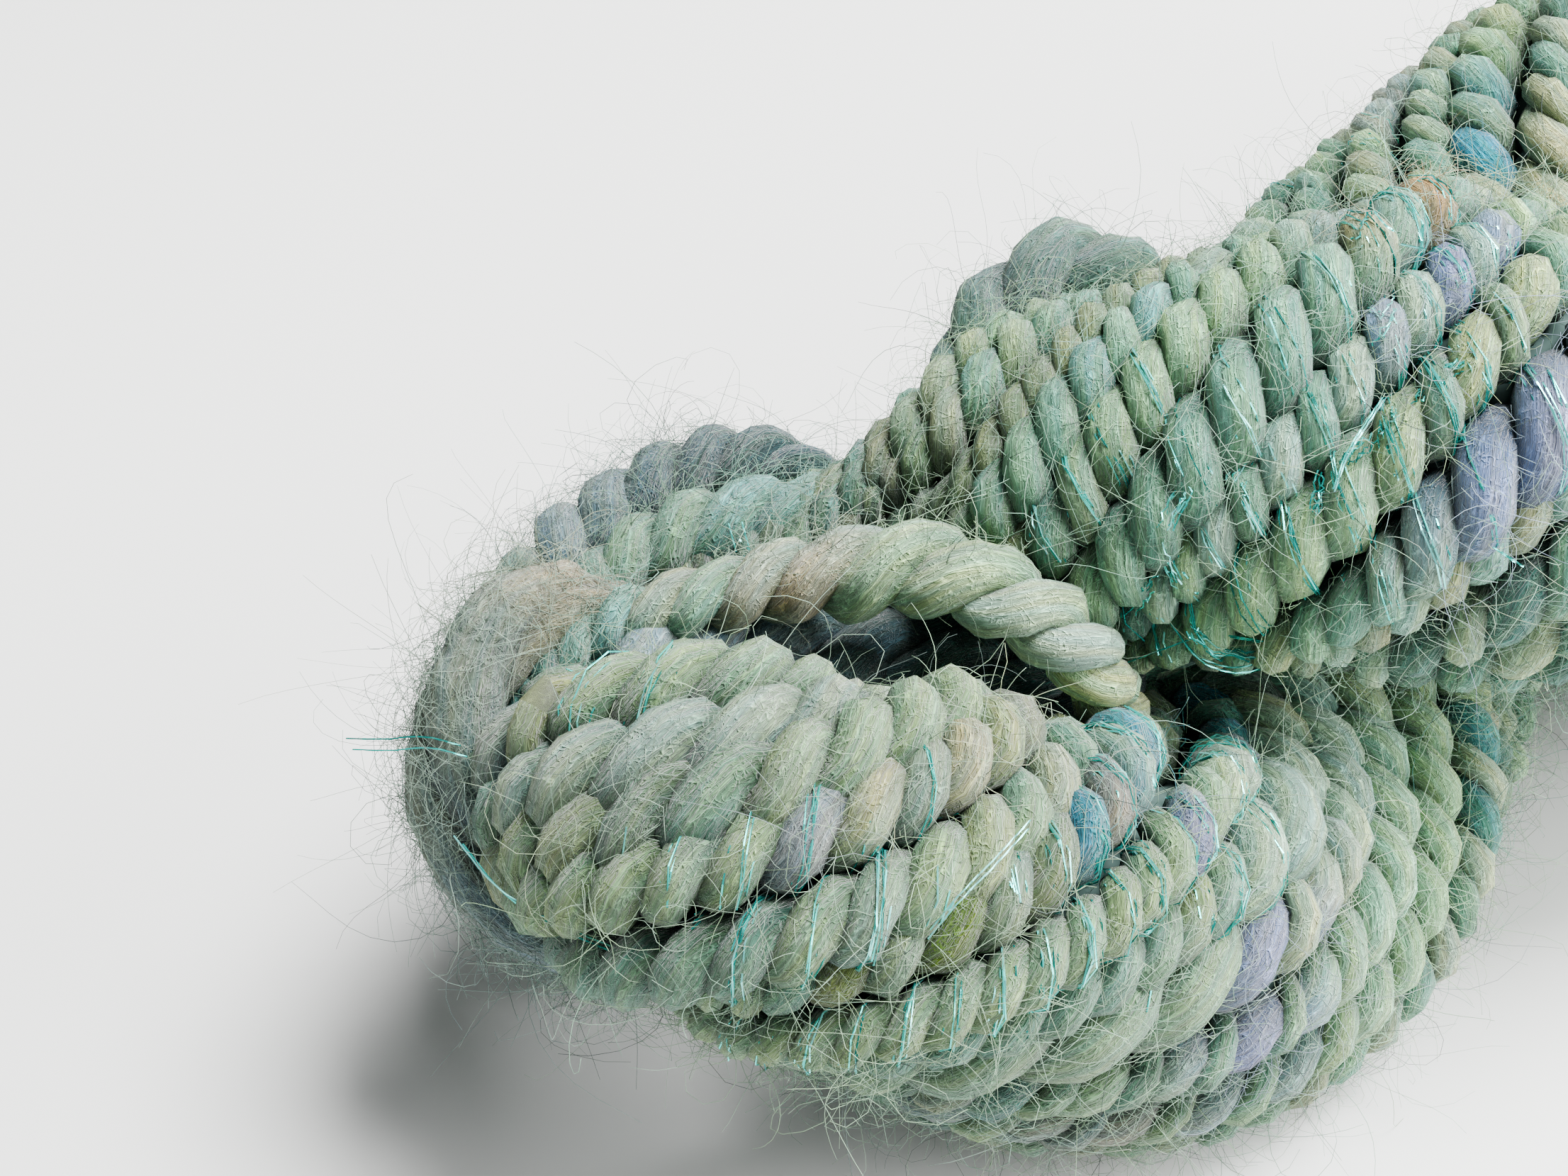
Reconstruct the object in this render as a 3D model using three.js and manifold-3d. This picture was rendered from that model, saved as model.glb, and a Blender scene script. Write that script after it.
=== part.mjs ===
// Art yarn in a twisted hank: one hand-spun yarn wound into a ring, and the ring twisted on itself like a
// rope. Millimetres, +Z up. The hank lies along X on the plane z = 0, with its open end, the one with the
// eye, at low X. The ring goes out along limb A and comes back along limb B. The turns of yarn on the
// limbs are ridges.

import * as THREE from 'three';
import { mergeVertices } from 'three/addons/utils/BufferGeometryUtils.js';
import Module from 'manifold-3d';

// Driving dimensions
const startX = -115.3; // where the first section stands, so that the hank is centred on the origin
const startY = -3.8;
const turnsShown = 13; // turns of yarn side by side round a limb
const layPerMm = 0.085; // radians that they wind round a limb in each millimetre of it
const endLayGain = 0.8; // how much faster they wind on limb B at the open end
const endLayReach = 22; // how far from the open end that lasts
const lobeLayGain = 0.45; // how much faster they wind on limb A at the open end
const lobeLayAt = 17; // how far round the ring that is
const lobeLayReach = 9;
const straightFrom = 28; // limb A's turns lie nearly along it between these places round the ring
const straightTo = 50;
const straightShare = 0.6; // how much slower they wind there
const layStart = THREE.MathUtils.degToRad(8.3);
const grooveShare = 0.16; // depth of the groove between two turns, as a share of the limb's radius
const grooveRound = 0.92; // how round a turn's section is, from 0, flat, to 1, a full half circle
const openEndLength = 16; // over which the two limbs come together at each end
const farEndLength = 16;
const limbClear = 11; // the slit has its full width where the limbs' middles are this far from the ring's middle
const limbMeet = 4; // and they run into each other where they are nearer than this
const limbBlend = 5; // over which the radius changes from one limb's to the other's round an end

// Sections of the hank. turn is the twist in degrees, and spread is half the distance between the two
// limbs' middles. slit is half the width of the slit between them, and inner is the most that a limb
// reaches towards the other one: the limbs press on each other along the rope, and the eye stays open near
// along = 20.
const sections = [
  { along: 0, y: 20, z: 32, turn: 160, spread: 13.8, radiusA: 12.5, radiusB: 9, inner: 9.5, slit: 0.5 },
  { along: 15, y: 16, z: 27.5, turn: 190, spread: 14.8, radiusA: 15.5, radiusB: 9, inner: 10, slit: 1.5 },
  { along: 28, y: 11, z: 26.5, turn: 217, spread: 15.2, radiusA: 17, radiusB: 9.8, inner: 11.5, slit: 2.5 },
  { along: 38, y: 6.2, z: 27.4, turn: 240, spread: 15.5, radiusA: 17, radiusB: 14, inner: 15, slit: 1.2 },
  { along: 50, y: 1.2, z: 28.8, turn: 268, spread: 15.5, radiusA: 17, radiusB: 16.8, inner: 17, slit: 0.4 },
  { along: 65, y: -1, z: 29.5, turn: 304, spread: 15.5, radiusA: 17, radiusB: 17, inner: 17, slit: 0.4 },
  { along: 85, y: 0, z: 29.5, turn: 357, spread: 15.5, radiusA: 17, radiusB: 17, inner: 17, slit: 0.4 },
  { along: 110, y: 0, z: 29.5, turn: 420, spread: 15.5, radiusA: 17, radiusB: 17, inner: 17, slit: 0.4 },
  { along: 150, y: 0, z: 29.5, turn: 520, spread: 15.5, radiusA: 17, radiusB: 17, inner: 17, slit: 0.4 },
  { along: 190, y: 0, z: 29, turn: 622, spread: 15, radiusA: 16.5, radiusB: 16.5, inner: 16.5, slit: 0.4 },
  { along: 212, y: 0, z: 27, turn: 672, spread: 14.5, radiusA: 14.5, radiusB: 14.5, inner: 11, slit: 0.4 },
  { along: 230, y: 0, z: 24, turn: 710, spread: 13.8, radiusA: 12, radiusB: 12, inner: 9, slit: 0.4 },
];

// Fineness of the mesh
const pointsPerTurn = 4;
const rings = 110;
const lineSteps = 2200; // the middle line is followed in finer steps than the rings
const outlineSteps = 500;

const length = sections.at(-1).along;
const columns = Object.keys(sections[0]).filter((name) => name !== 'along');
const slopes = sections.map((section, i) => slopesAt(i));

function slopesAt(i) {
  const before = sections[Math.max(i - 1, 0)];
  const here = sections[i];
  const after = sections[Math.min(i + 1, sections.length - 1)];
  const back = here.along - before.along;
  const ahead = after.along - here.along;
  const result = {};
  for (const name of columns) {
    const slopeBack = back ? (here[name] - before[name]) / back : 0;
    const slopeAhead = ahead ? (after[name] - here[name]) / ahead : 0;
    result[name] = back && ahead
      ? (slopeAhead * back + slopeBack * ahead) / (back + ahead)
      : slopeBack + slopeAhead;
  }
  return result;
}

// The section at any place along the hank, on a smooth curve through the rows of the table.
function sectionAt(along) {
  let i = 0;
  while (i < sections.length - 2 && along >= sections[i + 1].along) {
    i += 1;
  }
  const span = sections[i + 1].along - sections[i].along;
  const t = THREE.MathUtils.clamp((along - sections[i].along) / span, 0, 1);
  const startWeight = 2 * t ** 3 - 3 * t ** 2 + 1;
  const startSlopeWeight = (t ** 3 - 2 * t ** 2 + t) * span;
  const endWeight = 3 * t ** 2 - 2 * t ** 3;
  const endSlopeWeight = (t ** 3 - t ** 2) * span;
  const result = {};
  for (const name of columns) {
    result[name] = startWeight * sections[i][name] + startSlopeWeight * slopes[i][name]
      + endWeight * sections[i + 1][name] + endSlopeWeight * slopes[i + 1][name];
  }
  return result;
}

// A point that stands side mm to one side of the hank's middle and lift mm off that line, turned with the
// hank.
function turned(along, side, lift) {
  const { y, z, turn } = sectionAt(along);
  const angle = THREE.MathUtils.degToRad(turn);
  return new THREE.Vector3(
    along,
    y + side * Math.cos(angle) - lift * Math.sin(angle),
    z + side * Math.sin(angle) + lift * Math.cos(angle),
  );
}

// How far the limbs stand apart near an end, from 0 at its tip to 1.
function endRound(distance, endLength) {
  const t = THREE.MathUtils.clamp(distance / endLength, 0, 1);
  return Math.sqrt(1 - (1 - t) ** 2);
}

// The ring's middle line before the twist: out on limb A, where side is above 0, and back on limb B.
function ringOutline() {
  const out = [];
  for (let i = 0; i < outlineSteps; i += 1) {
    const along = length * (1 - Math.cos(Math.PI * i / (outlineSteps - 1))) / 2;
    const apart = endRound(along, openEndLength) * endRound(length - along, farEndLength);
    out.push({ along, side: sectionAt(along).spread * apart });
  }
  const back = out.map(({ along, side }) => ({ along, side: -side })).reverse();
  return [...out.slice(0, -1), ...back];
}

// Steps of equal length round the ring.
function evenSteps(outline, count) {
  const reached = [0];
  for (let i = 1; i < outline.length; i += 1) {
    const step = Math.hypot(outline[i].along - outline[i - 1].along, outline[i].side - outline[i - 1].side);
    reached.push(reached[i - 1] + step);
  }
  const steps = [];
  let i = 0;
  for (let k = 0; k < count; k += 1) {
    const wanted = reached.at(-1) * k / count;
    while (reached[i + 1] < wanted) {
      i += 1;
    }
    const t = (wanted - reached[i]) / (reached[i + 1] - reached[i]);
    steps.push({
      along: THREE.MathUtils.lerp(outline[i].along, outline[i + 1].along, t),
      side: THREE.MathUtils.lerp(outline[i].side, outline[i + 1].side, t),
    });
  }
  return steps;
}

// The ring's middle line in space, with a frame that is carried along it without turning about it.
function middleLine() {
  const line = evenSteps(ringOutline(), lineSteps);
  for (const step of line) {
    step.point = turned(step.along, step.side, 0);
  }
  line.forEach((step, i) => {
    const next = line[(i + 1) % line.length].point;
    const before = line.at(i - 1).point;
    step.ahead = next.clone().sub(before).normalize();
    step.length = next.distanceTo(step.point);
  });
  line[0].across = new THREE.Vector3().crossVectors(line[0].ahead, new THREE.Vector3(1, 0, 0)).normalize();
  for (let i = 1; i < line.length; i += 1) {
    line[i].across = carried(line[i - 1].across, line[i].ahead);
  }
  for (const step of line) {
    step.up = new THREE.Vector3().crossVectors(step.ahead, step.across);
  }
  const home = carried(line.at(-1).across, line[0].ahead);
  const gained = Math.atan2(home.dot(line[0].up), home.dot(line[0].across));
  return { line, gained };
}

function carried(across, ahead) {
  return across.clone().addScaledVector(ahead, -across.dot(ahead)).normalize();
}

function rise(place, start, width) {
  return 0.5 + 0.5 * Math.tanh((place - start) / width);
}

// How fast the turns wind round the limb at a step, as a share of layPerMm.
function layGain(step) {
  const straight = rise(step.reached, straightFrom, 3) - rise(step.reached, straightTo, 4);
  const endGain = step.side > 0
    ? lobeLayGain * Math.exp(-(((step.reached - lobeLayAt) / lobeLayReach) ** 2))
    : endLayGain * Math.exp(-((step.along / endLayReach) ** 2));
  return 1 + endGain - straightShare * straight;
}

// The wound form: the middle line swept with the limbs' radii. The rings stand closer at the open end, and
// the grid's lines follow the turns. The last ring meets the first one a whole number of turns round, so
// that each turn runs on into the next.
function woundRing() {
  const { line, gained } = middleLine();
  let reached = 0;
  let spaced = 0;
  let laid = 0;
  for (const step of line) {
    Object.assign(step, { reached, spaced, laid });
    reached += step.length;
    spaced += step.length * (1 + endLayGain * Math.exp(-((step.along / endLayReach) ** 2)));
    laid += step.length * layGain(step);
  }
  const ringSteps = [];
  for (let i = 0; i < rings; i += 1) {
    ringSteps.push(line.find((step) => step.spaced >= spaced * i / rings));
  }
  const turnAngle = 2 * Math.PI / turnsShown;
  const turnsPassed = Math.round((layPerMm * laid - gained) / turnAngle);
  const lay = (turnsPassed * turnAngle + gained) / laid;
  const around = turnsShown * pointsPerTurn;
  const positions = [];
  for (const step of ringSteps) {
    for (let j = 0; j < around; j += 1) {
      positions.push(...surfacePoint(step, j, lay).toArray());
    }
  }
  const index = [];
  for (let i = 0; i < rings; i += 1) {
    const last = i === rings - 1;
    const shift = last ? turnsPassed * pointsPerTurn : 0;
    const nextRow = last ? 0 : (i + 1) * around;
    for (let j = 0; j < around; j += 1) {
      const k = (j + 1) % around;
      const a = i * around + j;
      const b = i * around + k;
      const c = nextRow + wrap(k - shift, around);
      const d = nextRow + wrap(j - shift, around);
      index.push(a, b, c, a, c, d);
    }
  }
  const geometry = new THREE.BufferGeometry();
  geometry.setAttribute('position', new THREE.Float32BufferAttribute(positions, 3));
  geometry.setIndex(index);
  return geometry;
}

function wrap(i, count) {
  return ((i % count) + count) % count;
}

// Point j of one ring: on a rounded turn of yarn, on its own limb's side of the slit.
function surfacePoint(step, j, lay) {
  const angle = 2 * Math.PI * j / (turnsShown * pointsPerTurn) + layStart - lay * step.laid;
  const outward = step.across.clone().multiplyScalar(Math.cos(angle)).addScaledVector(step.up, Math.sin(angle));
  const across = 2 * (j % pointsPerTurn) / pointsPerTurn - 1;
  const height = Math.sqrt(1 - grooveRound * across ** 2);
  const radius = limbRadius(step, outward) * (1 - grooveShare + grooveShare * height);
  return onOwnSide(step.point.clone().addScaledVector(outward, radius), step.side);
}

// The limb's radius in one direction. It is less towards the ring's inside, where the limb bends round an
// end.
function limbRadius(step, outward) {
  const { radiusA, radiusB, inner } = sectionAt(step.along);
  const shareA = 0.5 + 0.5 * Math.tanh(step.side / limbBlend);
  const radius = THREE.MathUtils.lerp(radiusB, radiusA, shareA);
  const middle = turned(THREE.MathUtils.clamp(step.along, openEndLength, length - farEndLength), 0, 0);
  const inward = Math.max(0, outward.dot(middle.sub(step.point).normalize()));
  return radius - Math.max(0, radius - inner) * inward;
}

function onOwnSide(point, limbSide) {
  const { y, z, turn, slit } = sectionAt(point.x);
  const angle = THREE.MathUtils.degToRad(turn);
  const side = (point.y - y) * Math.cos(angle) + (point.z - z) * Math.sin(angle);
  const lift = (point.z - z) * Math.cos(angle) - (point.y - y) * Math.sin(angle);
  const own = Math.sign(limbSide);
  const parted = THREE.MathUtils.clamp((Math.abs(limbSide) - limbMeet) / (limbClear - limbMeet), 0, 1);
  const kept = THREE.MathUtils.lerp(side, own * Math.max(side * own, slit), parted);
  return turned(point.x, kept, lift);
}

// Joining and cutting
const wasm = await Module();
wasm.setup();

function toSolid(geometry) {
  geometry.deleteAttribute('normal');
  geometry.deleteAttribute('uv');
  const merged = mergeVertices(geometry);
  return new wasm.Manifold(new wasm.Mesh({
    numProp: 3,
    vertProperties: new Float32Array(merged.attributes.position.array),
    triVerts: new Uint32Array(merged.index.array),
  }));
}

function toGeometry(solid) {
  const { vertProperties, triVerts } = solid.getMesh();
  const geometry = new THREE.BufferGeometry();
  geometry.setAttribute('position', new THREE.BufferAttribute(vertProperties, 3));
  geometry.setIndex(new THREE.BufferAttribute(triVerts, 1));
  geometry.computeVertexNormals();
  return geometry;
}

// Where the hank lies on the plane z = 0 it is pressed flat.
function pressedFlat(geometry) {
  const wide = 400;
  const below = new THREE.BoxGeometry(wide, wide, wide).translate(0, 0, -wide / 2);
  return toGeometry(toSolid(geometry).subtract(toSolid(below)));
}

function yarnMaterial() {
  return new THREE.MeshStandardMaterial({ color: 0xa9bcae, roughness: 0.95, metalness: 0 });
}

function hank() {
  const geometry = pressedFlat(woundRing().translate(startX, startY, 0));
  const mesh = new THREE.Mesh(geometry, yarnMaterial());
  mesh.name = 'hank';
  return mesh;
}

const artYarn = new THREE.Group();
artYarn.add(hank());

export default artYarn;
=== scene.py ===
# Art yarn hank. One two-ply yarn is wound thirteen times round a ring, and the ring is twisted on itself.
# Lengths here are millimetres until a mesh is made, which is in metres.
import math

import bmesh
import bpy
import numpy as np
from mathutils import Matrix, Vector, bvhtree, kdtree


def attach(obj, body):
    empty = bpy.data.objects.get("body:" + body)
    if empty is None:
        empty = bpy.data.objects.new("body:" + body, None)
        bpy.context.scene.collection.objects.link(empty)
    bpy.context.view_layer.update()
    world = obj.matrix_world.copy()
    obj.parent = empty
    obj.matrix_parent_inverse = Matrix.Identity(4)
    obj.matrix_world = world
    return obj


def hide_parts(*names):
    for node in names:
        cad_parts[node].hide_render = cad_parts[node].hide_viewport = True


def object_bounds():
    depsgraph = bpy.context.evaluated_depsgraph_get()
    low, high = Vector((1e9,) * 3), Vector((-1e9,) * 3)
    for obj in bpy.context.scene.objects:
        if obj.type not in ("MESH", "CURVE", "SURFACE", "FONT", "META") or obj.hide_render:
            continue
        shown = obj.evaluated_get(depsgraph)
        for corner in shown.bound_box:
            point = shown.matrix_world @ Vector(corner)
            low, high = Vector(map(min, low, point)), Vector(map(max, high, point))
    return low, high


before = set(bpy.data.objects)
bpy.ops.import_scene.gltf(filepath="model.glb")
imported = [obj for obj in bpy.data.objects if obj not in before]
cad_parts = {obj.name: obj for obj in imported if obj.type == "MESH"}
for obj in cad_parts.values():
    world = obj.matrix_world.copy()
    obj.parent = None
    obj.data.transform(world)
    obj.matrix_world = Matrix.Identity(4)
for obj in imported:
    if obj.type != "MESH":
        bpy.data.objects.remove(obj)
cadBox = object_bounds()
mm = 0.001

# camera, with its clipping in metres
cameraSettings = {
    "lookAt": (-93.8, 23.2, 33.5),
    "distance": 158,
    "elevation": 40,
    "azimuth": -46,
    "lens": 51,
    "sensorWidth": 36,
    "clip": (0.005, 20),
}


def makeCamera(settings):
    elevation = math.radians(settings["elevation"])
    azimuth = math.radians(settings["azimuth"])
    back = Vector((
        math.sin(azimuth) * math.cos(elevation),
        -math.cos(azimuth) * math.cos(elevation),
        math.sin(elevation),
    ))
    data = bpy.data.cameras.new("camera")
    data.lens = settings["lens"]
    data.sensor_width = settings["sensorWidth"]
    data.clip_start, data.clip_end = settings["clip"]
    camera = bpy.data.objects.new("camera", data)
    camera.location = (Vector(settings["lookAt"]) + back * settings["distance"]) * mm
    camera.rotation_euler = (-back).to_track_quat("-Z", "Y").to_euler()
    bpy.context.collection.objects.link(camera)
    bpy.context.scene.camera = camera


makeCamera(cameraSettings)
print("camera placed")

# The wound form, with the sizes of the CAD solid. A section has its place along the hank, y, z, the two
# limbs' turn in degrees, how far each limb's middle is from the hank's, the radii of limbs A and B and of
# their inner sides, and how far each limb keeps off the plane between them.
hankForm = {
    "start": (-115.3, -3.8),
    "turns": 13,
    "layPerMm": 0.085,  # radians that the yarn goes round the limb in a mm
    "layStart": math.radians(8.3),
    "fastA": 0.45,  # how much faster it goes round at the open end, on limbs A and B
    "fastAtA": 17,
    "fastReachA": 9,
    "fastB": 0.8,
    "fastReachB": 22,
    "straightFrom": 28,
    "straightTo": 50,
    "straightFades": (3, 4),
    "straightShare": 0.6,
    "openEnd": 16,
    "farEnd": 16,
    "limbClear": 11,
    "limbMeet": 4,
    "limbBlend": 5,
    "lineSteps": 2200,
    "outlineSteps": 500,
    "sections": [
        (0, 20, 32, 160, 13.8, 12.5, 9, 9.5, 0.5),
        (15, 16, 27.5, 190, 14.8, 15.5, 9, 10, 1.5),
        (28, 11, 26.5, 217, 15.2, 17, 9.8, 11.5, 2.5),
        (38, 6.2, 27.4, 240, 15.5, 17, 14, 15, 1.2),
        (50, 1.2, 28.8, 268, 15.5, 17, 16.8, 17, 0.4),
        (65, -1, 29.5, 304, 15.5, 17, 17, 17, 0.4),
        (85, 0, 29.5, 357, 15.5, 17, 17, 17, 0.4),
        (110, 0, 29.5, 420, 15.5, 17, 17, 17, 0.4),
        (150, 0, 29.5, 520, 15.5, 17, 17, 17, 0.4),
        (190, 0, 29, 622, 15, 16.5, 16.5, 16.5, 0.4),
        (212, 0, 27, 672, 14.5, 14.5, 14.5, 11, 0.4),
        (230, 0, 24, 710, 13.8, 12, 12, 9, 0.4),
    ],
}
sections = np.array(hankForm["sections"], float)
hankLength = sections[-1, 0]


def sectionSlopes(rows):
    steps = np.diff(rows[:, 0])
    slopes = np.diff(rows[:, 1:], axis=0) / steps[:, None]
    before, after = steps[:-1, None], steps[1:, None]
    middle = (slopes[1:] * before + slopes[:-1] * after) / (after + before)
    return np.concatenate([slopes[:1], middle, slopes[-1:]])


slopes = sectionSlopes(sections)


def sectionAt(along):
    # y, z, turn, spread, radiusA, radiusB, inner and slit at any places along the hank
    along = np.asarray(along, float)
    i = np.clip(np.searchsorted(sections[:, 0], along, "right") - 1, 0, len(sections) - 2)
    span = (sections[i + 1, 0] - sections[i, 0])[..., None]
    t = np.clip((along - sections[i, 0])[..., None] / span, 0, 1)
    values = (
        (2 * t**3 - 3 * t**2 + 1) * sections[i, 1:]
        + (t**3 - 2 * t**2 + t) * span * slopes[i]
        + (3 * t**2 - 2 * t**3) * sections[i + 1, 1:]
        + (t**3 - t**2) * span * slopes[i + 1]
    )
    return np.moveaxis(values, -1, 0)


def turned(along, side, lift):
    # a point side mm to one side of the hank's middle and lift mm off it, turned with the hank
    y, z, turn = sectionAt(along)[:3]
    angle = np.radians(turn)
    return np.stack([
        along + np.zeros_like(y),
        y + side * np.cos(angle) - lift * np.sin(angle),
        z + side * np.sin(angle) + lift * np.cos(angle),
    ], -1)


def sideAndLift(points):
    # the side and lift that turned would need for these points
    y, z, turn = sectionAt(points[..., 0])[:3]
    angle = np.radians(turn)
    side = (points[..., 1] - y) * np.cos(angle) + (points[..., 2] - z) * np.sin(angle)
    lift = (points[..., 2] - z) * np.cos(angle) - (points[..., 1] - y) * np.sin(angle)
    return side, lift


def unit(vectors):
    return vectors / np.maximum(np.linalg.norm(vectors, axis=-1, keepdims=True), 1e-9)


def dot(a, b):
    return np.sum(a * b, axis=-1)


def endRound(distance, endLength):
    t = np.clip(distance / endLength, 0, 1)
    return np.sqrt(1 - (1 - t) ** 2)


def rise(places, start, width):
    return 0.5 + 0.5 * np.tanh((places - start) / width)


def layGain(line):
    # how fast the yarn winds round the limb: fast at the open end, then nearly along the limb
    reached = line["reached"]
    fadeIn, fadeOut = hankForm["straightFades"]
    straight = rise(reached, hankForm["straightFrom"], fadeIn)
    straight = straight - rise(reached, hankForm["straightTo"], fadeOut)
    onA = np.exp(-(((reached - hankForm["fastAtA"]) / hankForm["fastReachA"]) ** 2))
    onB = np.exp(-((line["along"] / hankForm["fastReachB"]) ** 2))
    fast = np.where(line["side"] > 0, hankForm["fastA"] * onA, hankForm["fastB"] * onB)
    return 1 + fast - hankForm["straightShare"] * straight


def ringLine():
    # the ring's middle line: out on limb A, where side is above 0, and back on limb B
    steps = np.arange(hankForm["outlineSteps"]) / (hankForm["outlineSteps"] - 1)
    along = hankLength * (1 - np.cos(np.pi * steps)) / 2
    apart = endRound(along, hankForm["openEnd"]) * endRound(hankLength - along, hankForm["farEnd"])
    side = sectionAt(along)[3] * apart
    outline = np.concatenate([np.stack([along, side], 1)[:-1], np.stack([along, -side], 1)[::-1]])
    reached = np.concatenate([[0], np.cumsum(np.linalg.norm(np.diff(outline, axis=0), axis=1))])
    count = hankForm["lineSteps"]
    wanted = reached[-1] * np.arange(count) / count
    line = {
        "along": np.interp(wanted, reached, outline[:, 0]),
        "side": np.interp(wanted, reached, outline[:, 1]),
    }
    line["point"] = turned(line["along"], line["side"], 0)
    line["ahead"] = unit(np.roll(line["point"], -1, 0) - np.roll(line["point"], 1, 0))
    line["step"] = np.linalg.norm(np.roll(line["point"], -1, 0) - line["point"], axis=1)
    line["reached"] = np.cumsum(line["step"]) - line["step"]
    across = np.zeros((count, 3))
    across[0] = unit(np.cross(line["ahead"][0], (1, 0, 0)))
    for i in range(1, count):
        ahead = line["ahead"][i]
        across[i] = unit(across[i - 1] - ahead * np.dot(across[i - 1], ahead))
    line["across"] = across
    line["up"] = np.cross(line["ahead"], across)
    home = unit(across[-1] - line["ahead"][0] * np.dot(across[-1], line["ahead"][0]))
    gained = math.atan2(np.dot(home, line["up"][0]), np.dot(home, across[0]))
    gain = layGain(line)
    line["laid"] = np.cumsum(line["step"] * gain) - line["step"] * gain
    laid = float(np.sum(line["step"] * gain))
    turnAngle = 2 * math.pi / hankForm["turns"]
    line["turnsPassed"] = round((hankForm["layPerMm"] * laid - gained) / turnAngle)
    line["lay"] = (line["turnsPassed"] * turnAngle + gained) / laid
    return line


ring = ringLine()
ringLength = float(np.sum(ring["step"]))


def limbRadius(along, side, point, outward):
    radiusA, radiusB, inner = sectionAt(along)[4:7]
    radius = radiusB + (radiusA - radiusB) * rise(side, 0, hankForm["limbBlend"])
    middle = turned(np.clip(along, hankForm["openEnd"], hankLength - hankForm["farEnd"]), 0, 0)
    inward = np.maximum(0, dot(outward, unit(middle - point)))
    return radius - np.maximum(0, radius - inner) * inward


def onOwnSide(points, limbSide, margin):
    # points kept off the plane between the limbs, apart from the end loops, where the limbs meet
    side, lift = sideAndLift(points)
    slit = sectionAt(points[..., 0])[7] + margin
    own = np.sign(limbSide)
    meet, clear = hankForm["limbMeet"], hankForm["limbClear"]
    parted = np.clip((np.abs(limbSide) - meet) / (clear - meet), 0, 1)
    kept = side + (own * np.maximum(side * own, slit) - side) * parted
    return turned(points[..., 0], kept, lift)


def toPart(points):
    return points + np.array([*hankForm["start"], 0])


# the yarn's way: lap after lap of the ring, each lap one turn further round the limb
yarnWay = {
    "seed": 11,
    "sideWander": 0.24,
    "depthWander": 1.35,
    "wanderLength": 34,
    "sunkThinner": 0.13,  # how much thinner the yarn is where it lies deepest
    "halfWidth": 0.89,  # of the yarn, as a share of its two plies' radii together
    "depth": 0.5,  # of the yarn's middle under the limb's surface, besides a share of its half width
    "depthShare": 0.9,
    "slitShare": 0.8,  # likewise, how far the yarn keeps off the plane between the limbs
    "floorClear": 0.95,  # likewise, of its middle over the floor
    "fineStep": 0.8,
    "coarseStep": 1.6,
    "fineUntil": 95,
    "fineFade": 30,
    "gatherFrom": 537,  # where limb B's turns draw together behind the eye
    "gatherTo": 571,
    "gatherFade": 3,
    "gatherShare": 0.45,
    "gatherShift": (0, 2.5, 1.2),
    "gatherThinner": 0.25,
}

# radius of one ply, and how tightly two plies are twisted for their radius
plyForm = {
    "seed": 23,
    "thin": 0.95,
    "middle": 1.36,
    "fat": 2.0,
    "thickLength": 24,
    "slowShare": 0.75,
    "quickShare": 0.3,
    "quickTimes": 4,
    "stretchHalf": 0.55,  # half of a slub's full part, as a share of its length
    "pitchPerRadius": 4.5,
    "looseAbove": 1.4,
    "looseGain": 0.2,
    "nearness": 0.76,  # of the two plies' middles, as a share of their radii
    "floorClear": 0.95,
    "sides": 8,
    "proudSides": 14,
    "proudStep": 0.55,
    "proudDense": 600,
    "proudSeed": 7,
    "proudUneven": 0.1,
    "proudUnevenLength": 9,
}

# Places where one ply is a slub or has its own colour. Strand and reached say which turn round the limb and
# how far round the ring, fat is a share of the middle radius, and ply is 0, 1 or 2 for both.
slubFields = ("strand", "reached", "length", "fat", "colour", "ply")
slubs = [dict(zip(slubFields, row)) for row in (
    (1, 6.5, 12, 1.6, "pale", 2),
    (0, 3.5, 9, 1.3, "celadon", 2),
    (0, 0.5, 4, 1.0, "straw", 0),
    (2, 14, 9, 1.15, "celadon", 2),
    (3, 5, 18, 1.15, "celadon", 2),
    (3, 11, 5, 1.1, "lilac", 0),
    (3, 16, 6, 1.1, "cream", 1),
    (3, 19, 6, 1.0, "straw", 0),
    (4, 4, 10, 1.2, "mint", 2),
    (4, 15, 10, 1.15, "celadon", 1),
    (5, 17, 7, 1.25, "olive", 0),
    (5, 23.5, 6, 1.0, "aqua", 1),
    (5, 26, 5, 0.9, "peach", 0),
    (5, 30, 10, 1.3, "aqua", 0),
    (6, 20, 30, 0.85, "celadon", 2),
    (6, 29, 4, 1.1, "lavender", 0),
    (6, 43, 5, 1.1, "lavender", 1),
    (6, 52, 9, 1.2, "aqua", 0),
    (7, 23, 16, 1.15, "mint", 2),
    (7, 33.5, 6, 1.1, "yellowGreen", 0),
    (7, 43, 15, 1.75, "pale", 2),
    (8, 28, 17, 2.1, "paleGreen", 2),
    (8, 39, 9, 1.6, "lavender", 0),
    (8, 57, 12, 1.3, "pale", 2),
    (9, 40, 9, 1.5, "lavender", 1),
    (9, 54, 14, 1.4, "paleGreen", 2),
    (10, 58, 16, 1.3, "celadon", 2),
    (11, 66, 8, 1.1, "teal", 0),
    (12, 68, 7, 1.2, "teal", 1),
    (4, 527, 20, 1.0, "sageBrown", 2),
    (3, 529, 10, 1.15, "mint", 2),
    (3, 523, 7, 1.2, "aquaGrey", 0),
    (2, 520, 14, 1.3, "celadon", 2),
    (1, 517, 14, 1.3, "mint", 2),
    (0, 515, 18, 1.25, "pale", 1),
    (12, 517, 14, 1.35, "celadon", 2),
    (0, 506, 8, 1.2, "lavender", 0),
    (11, 503, 12, 1.4, "lavender", 2),
    (12, 505, 12, 1.3, "straw", 1),
    (1, 507, 6, 1.0, "peach", 1),
    (5, 119, 9, 1.3, "aqua", 0),
    (6, 120, 9, 1.3, "cream", 2),
)]

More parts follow.
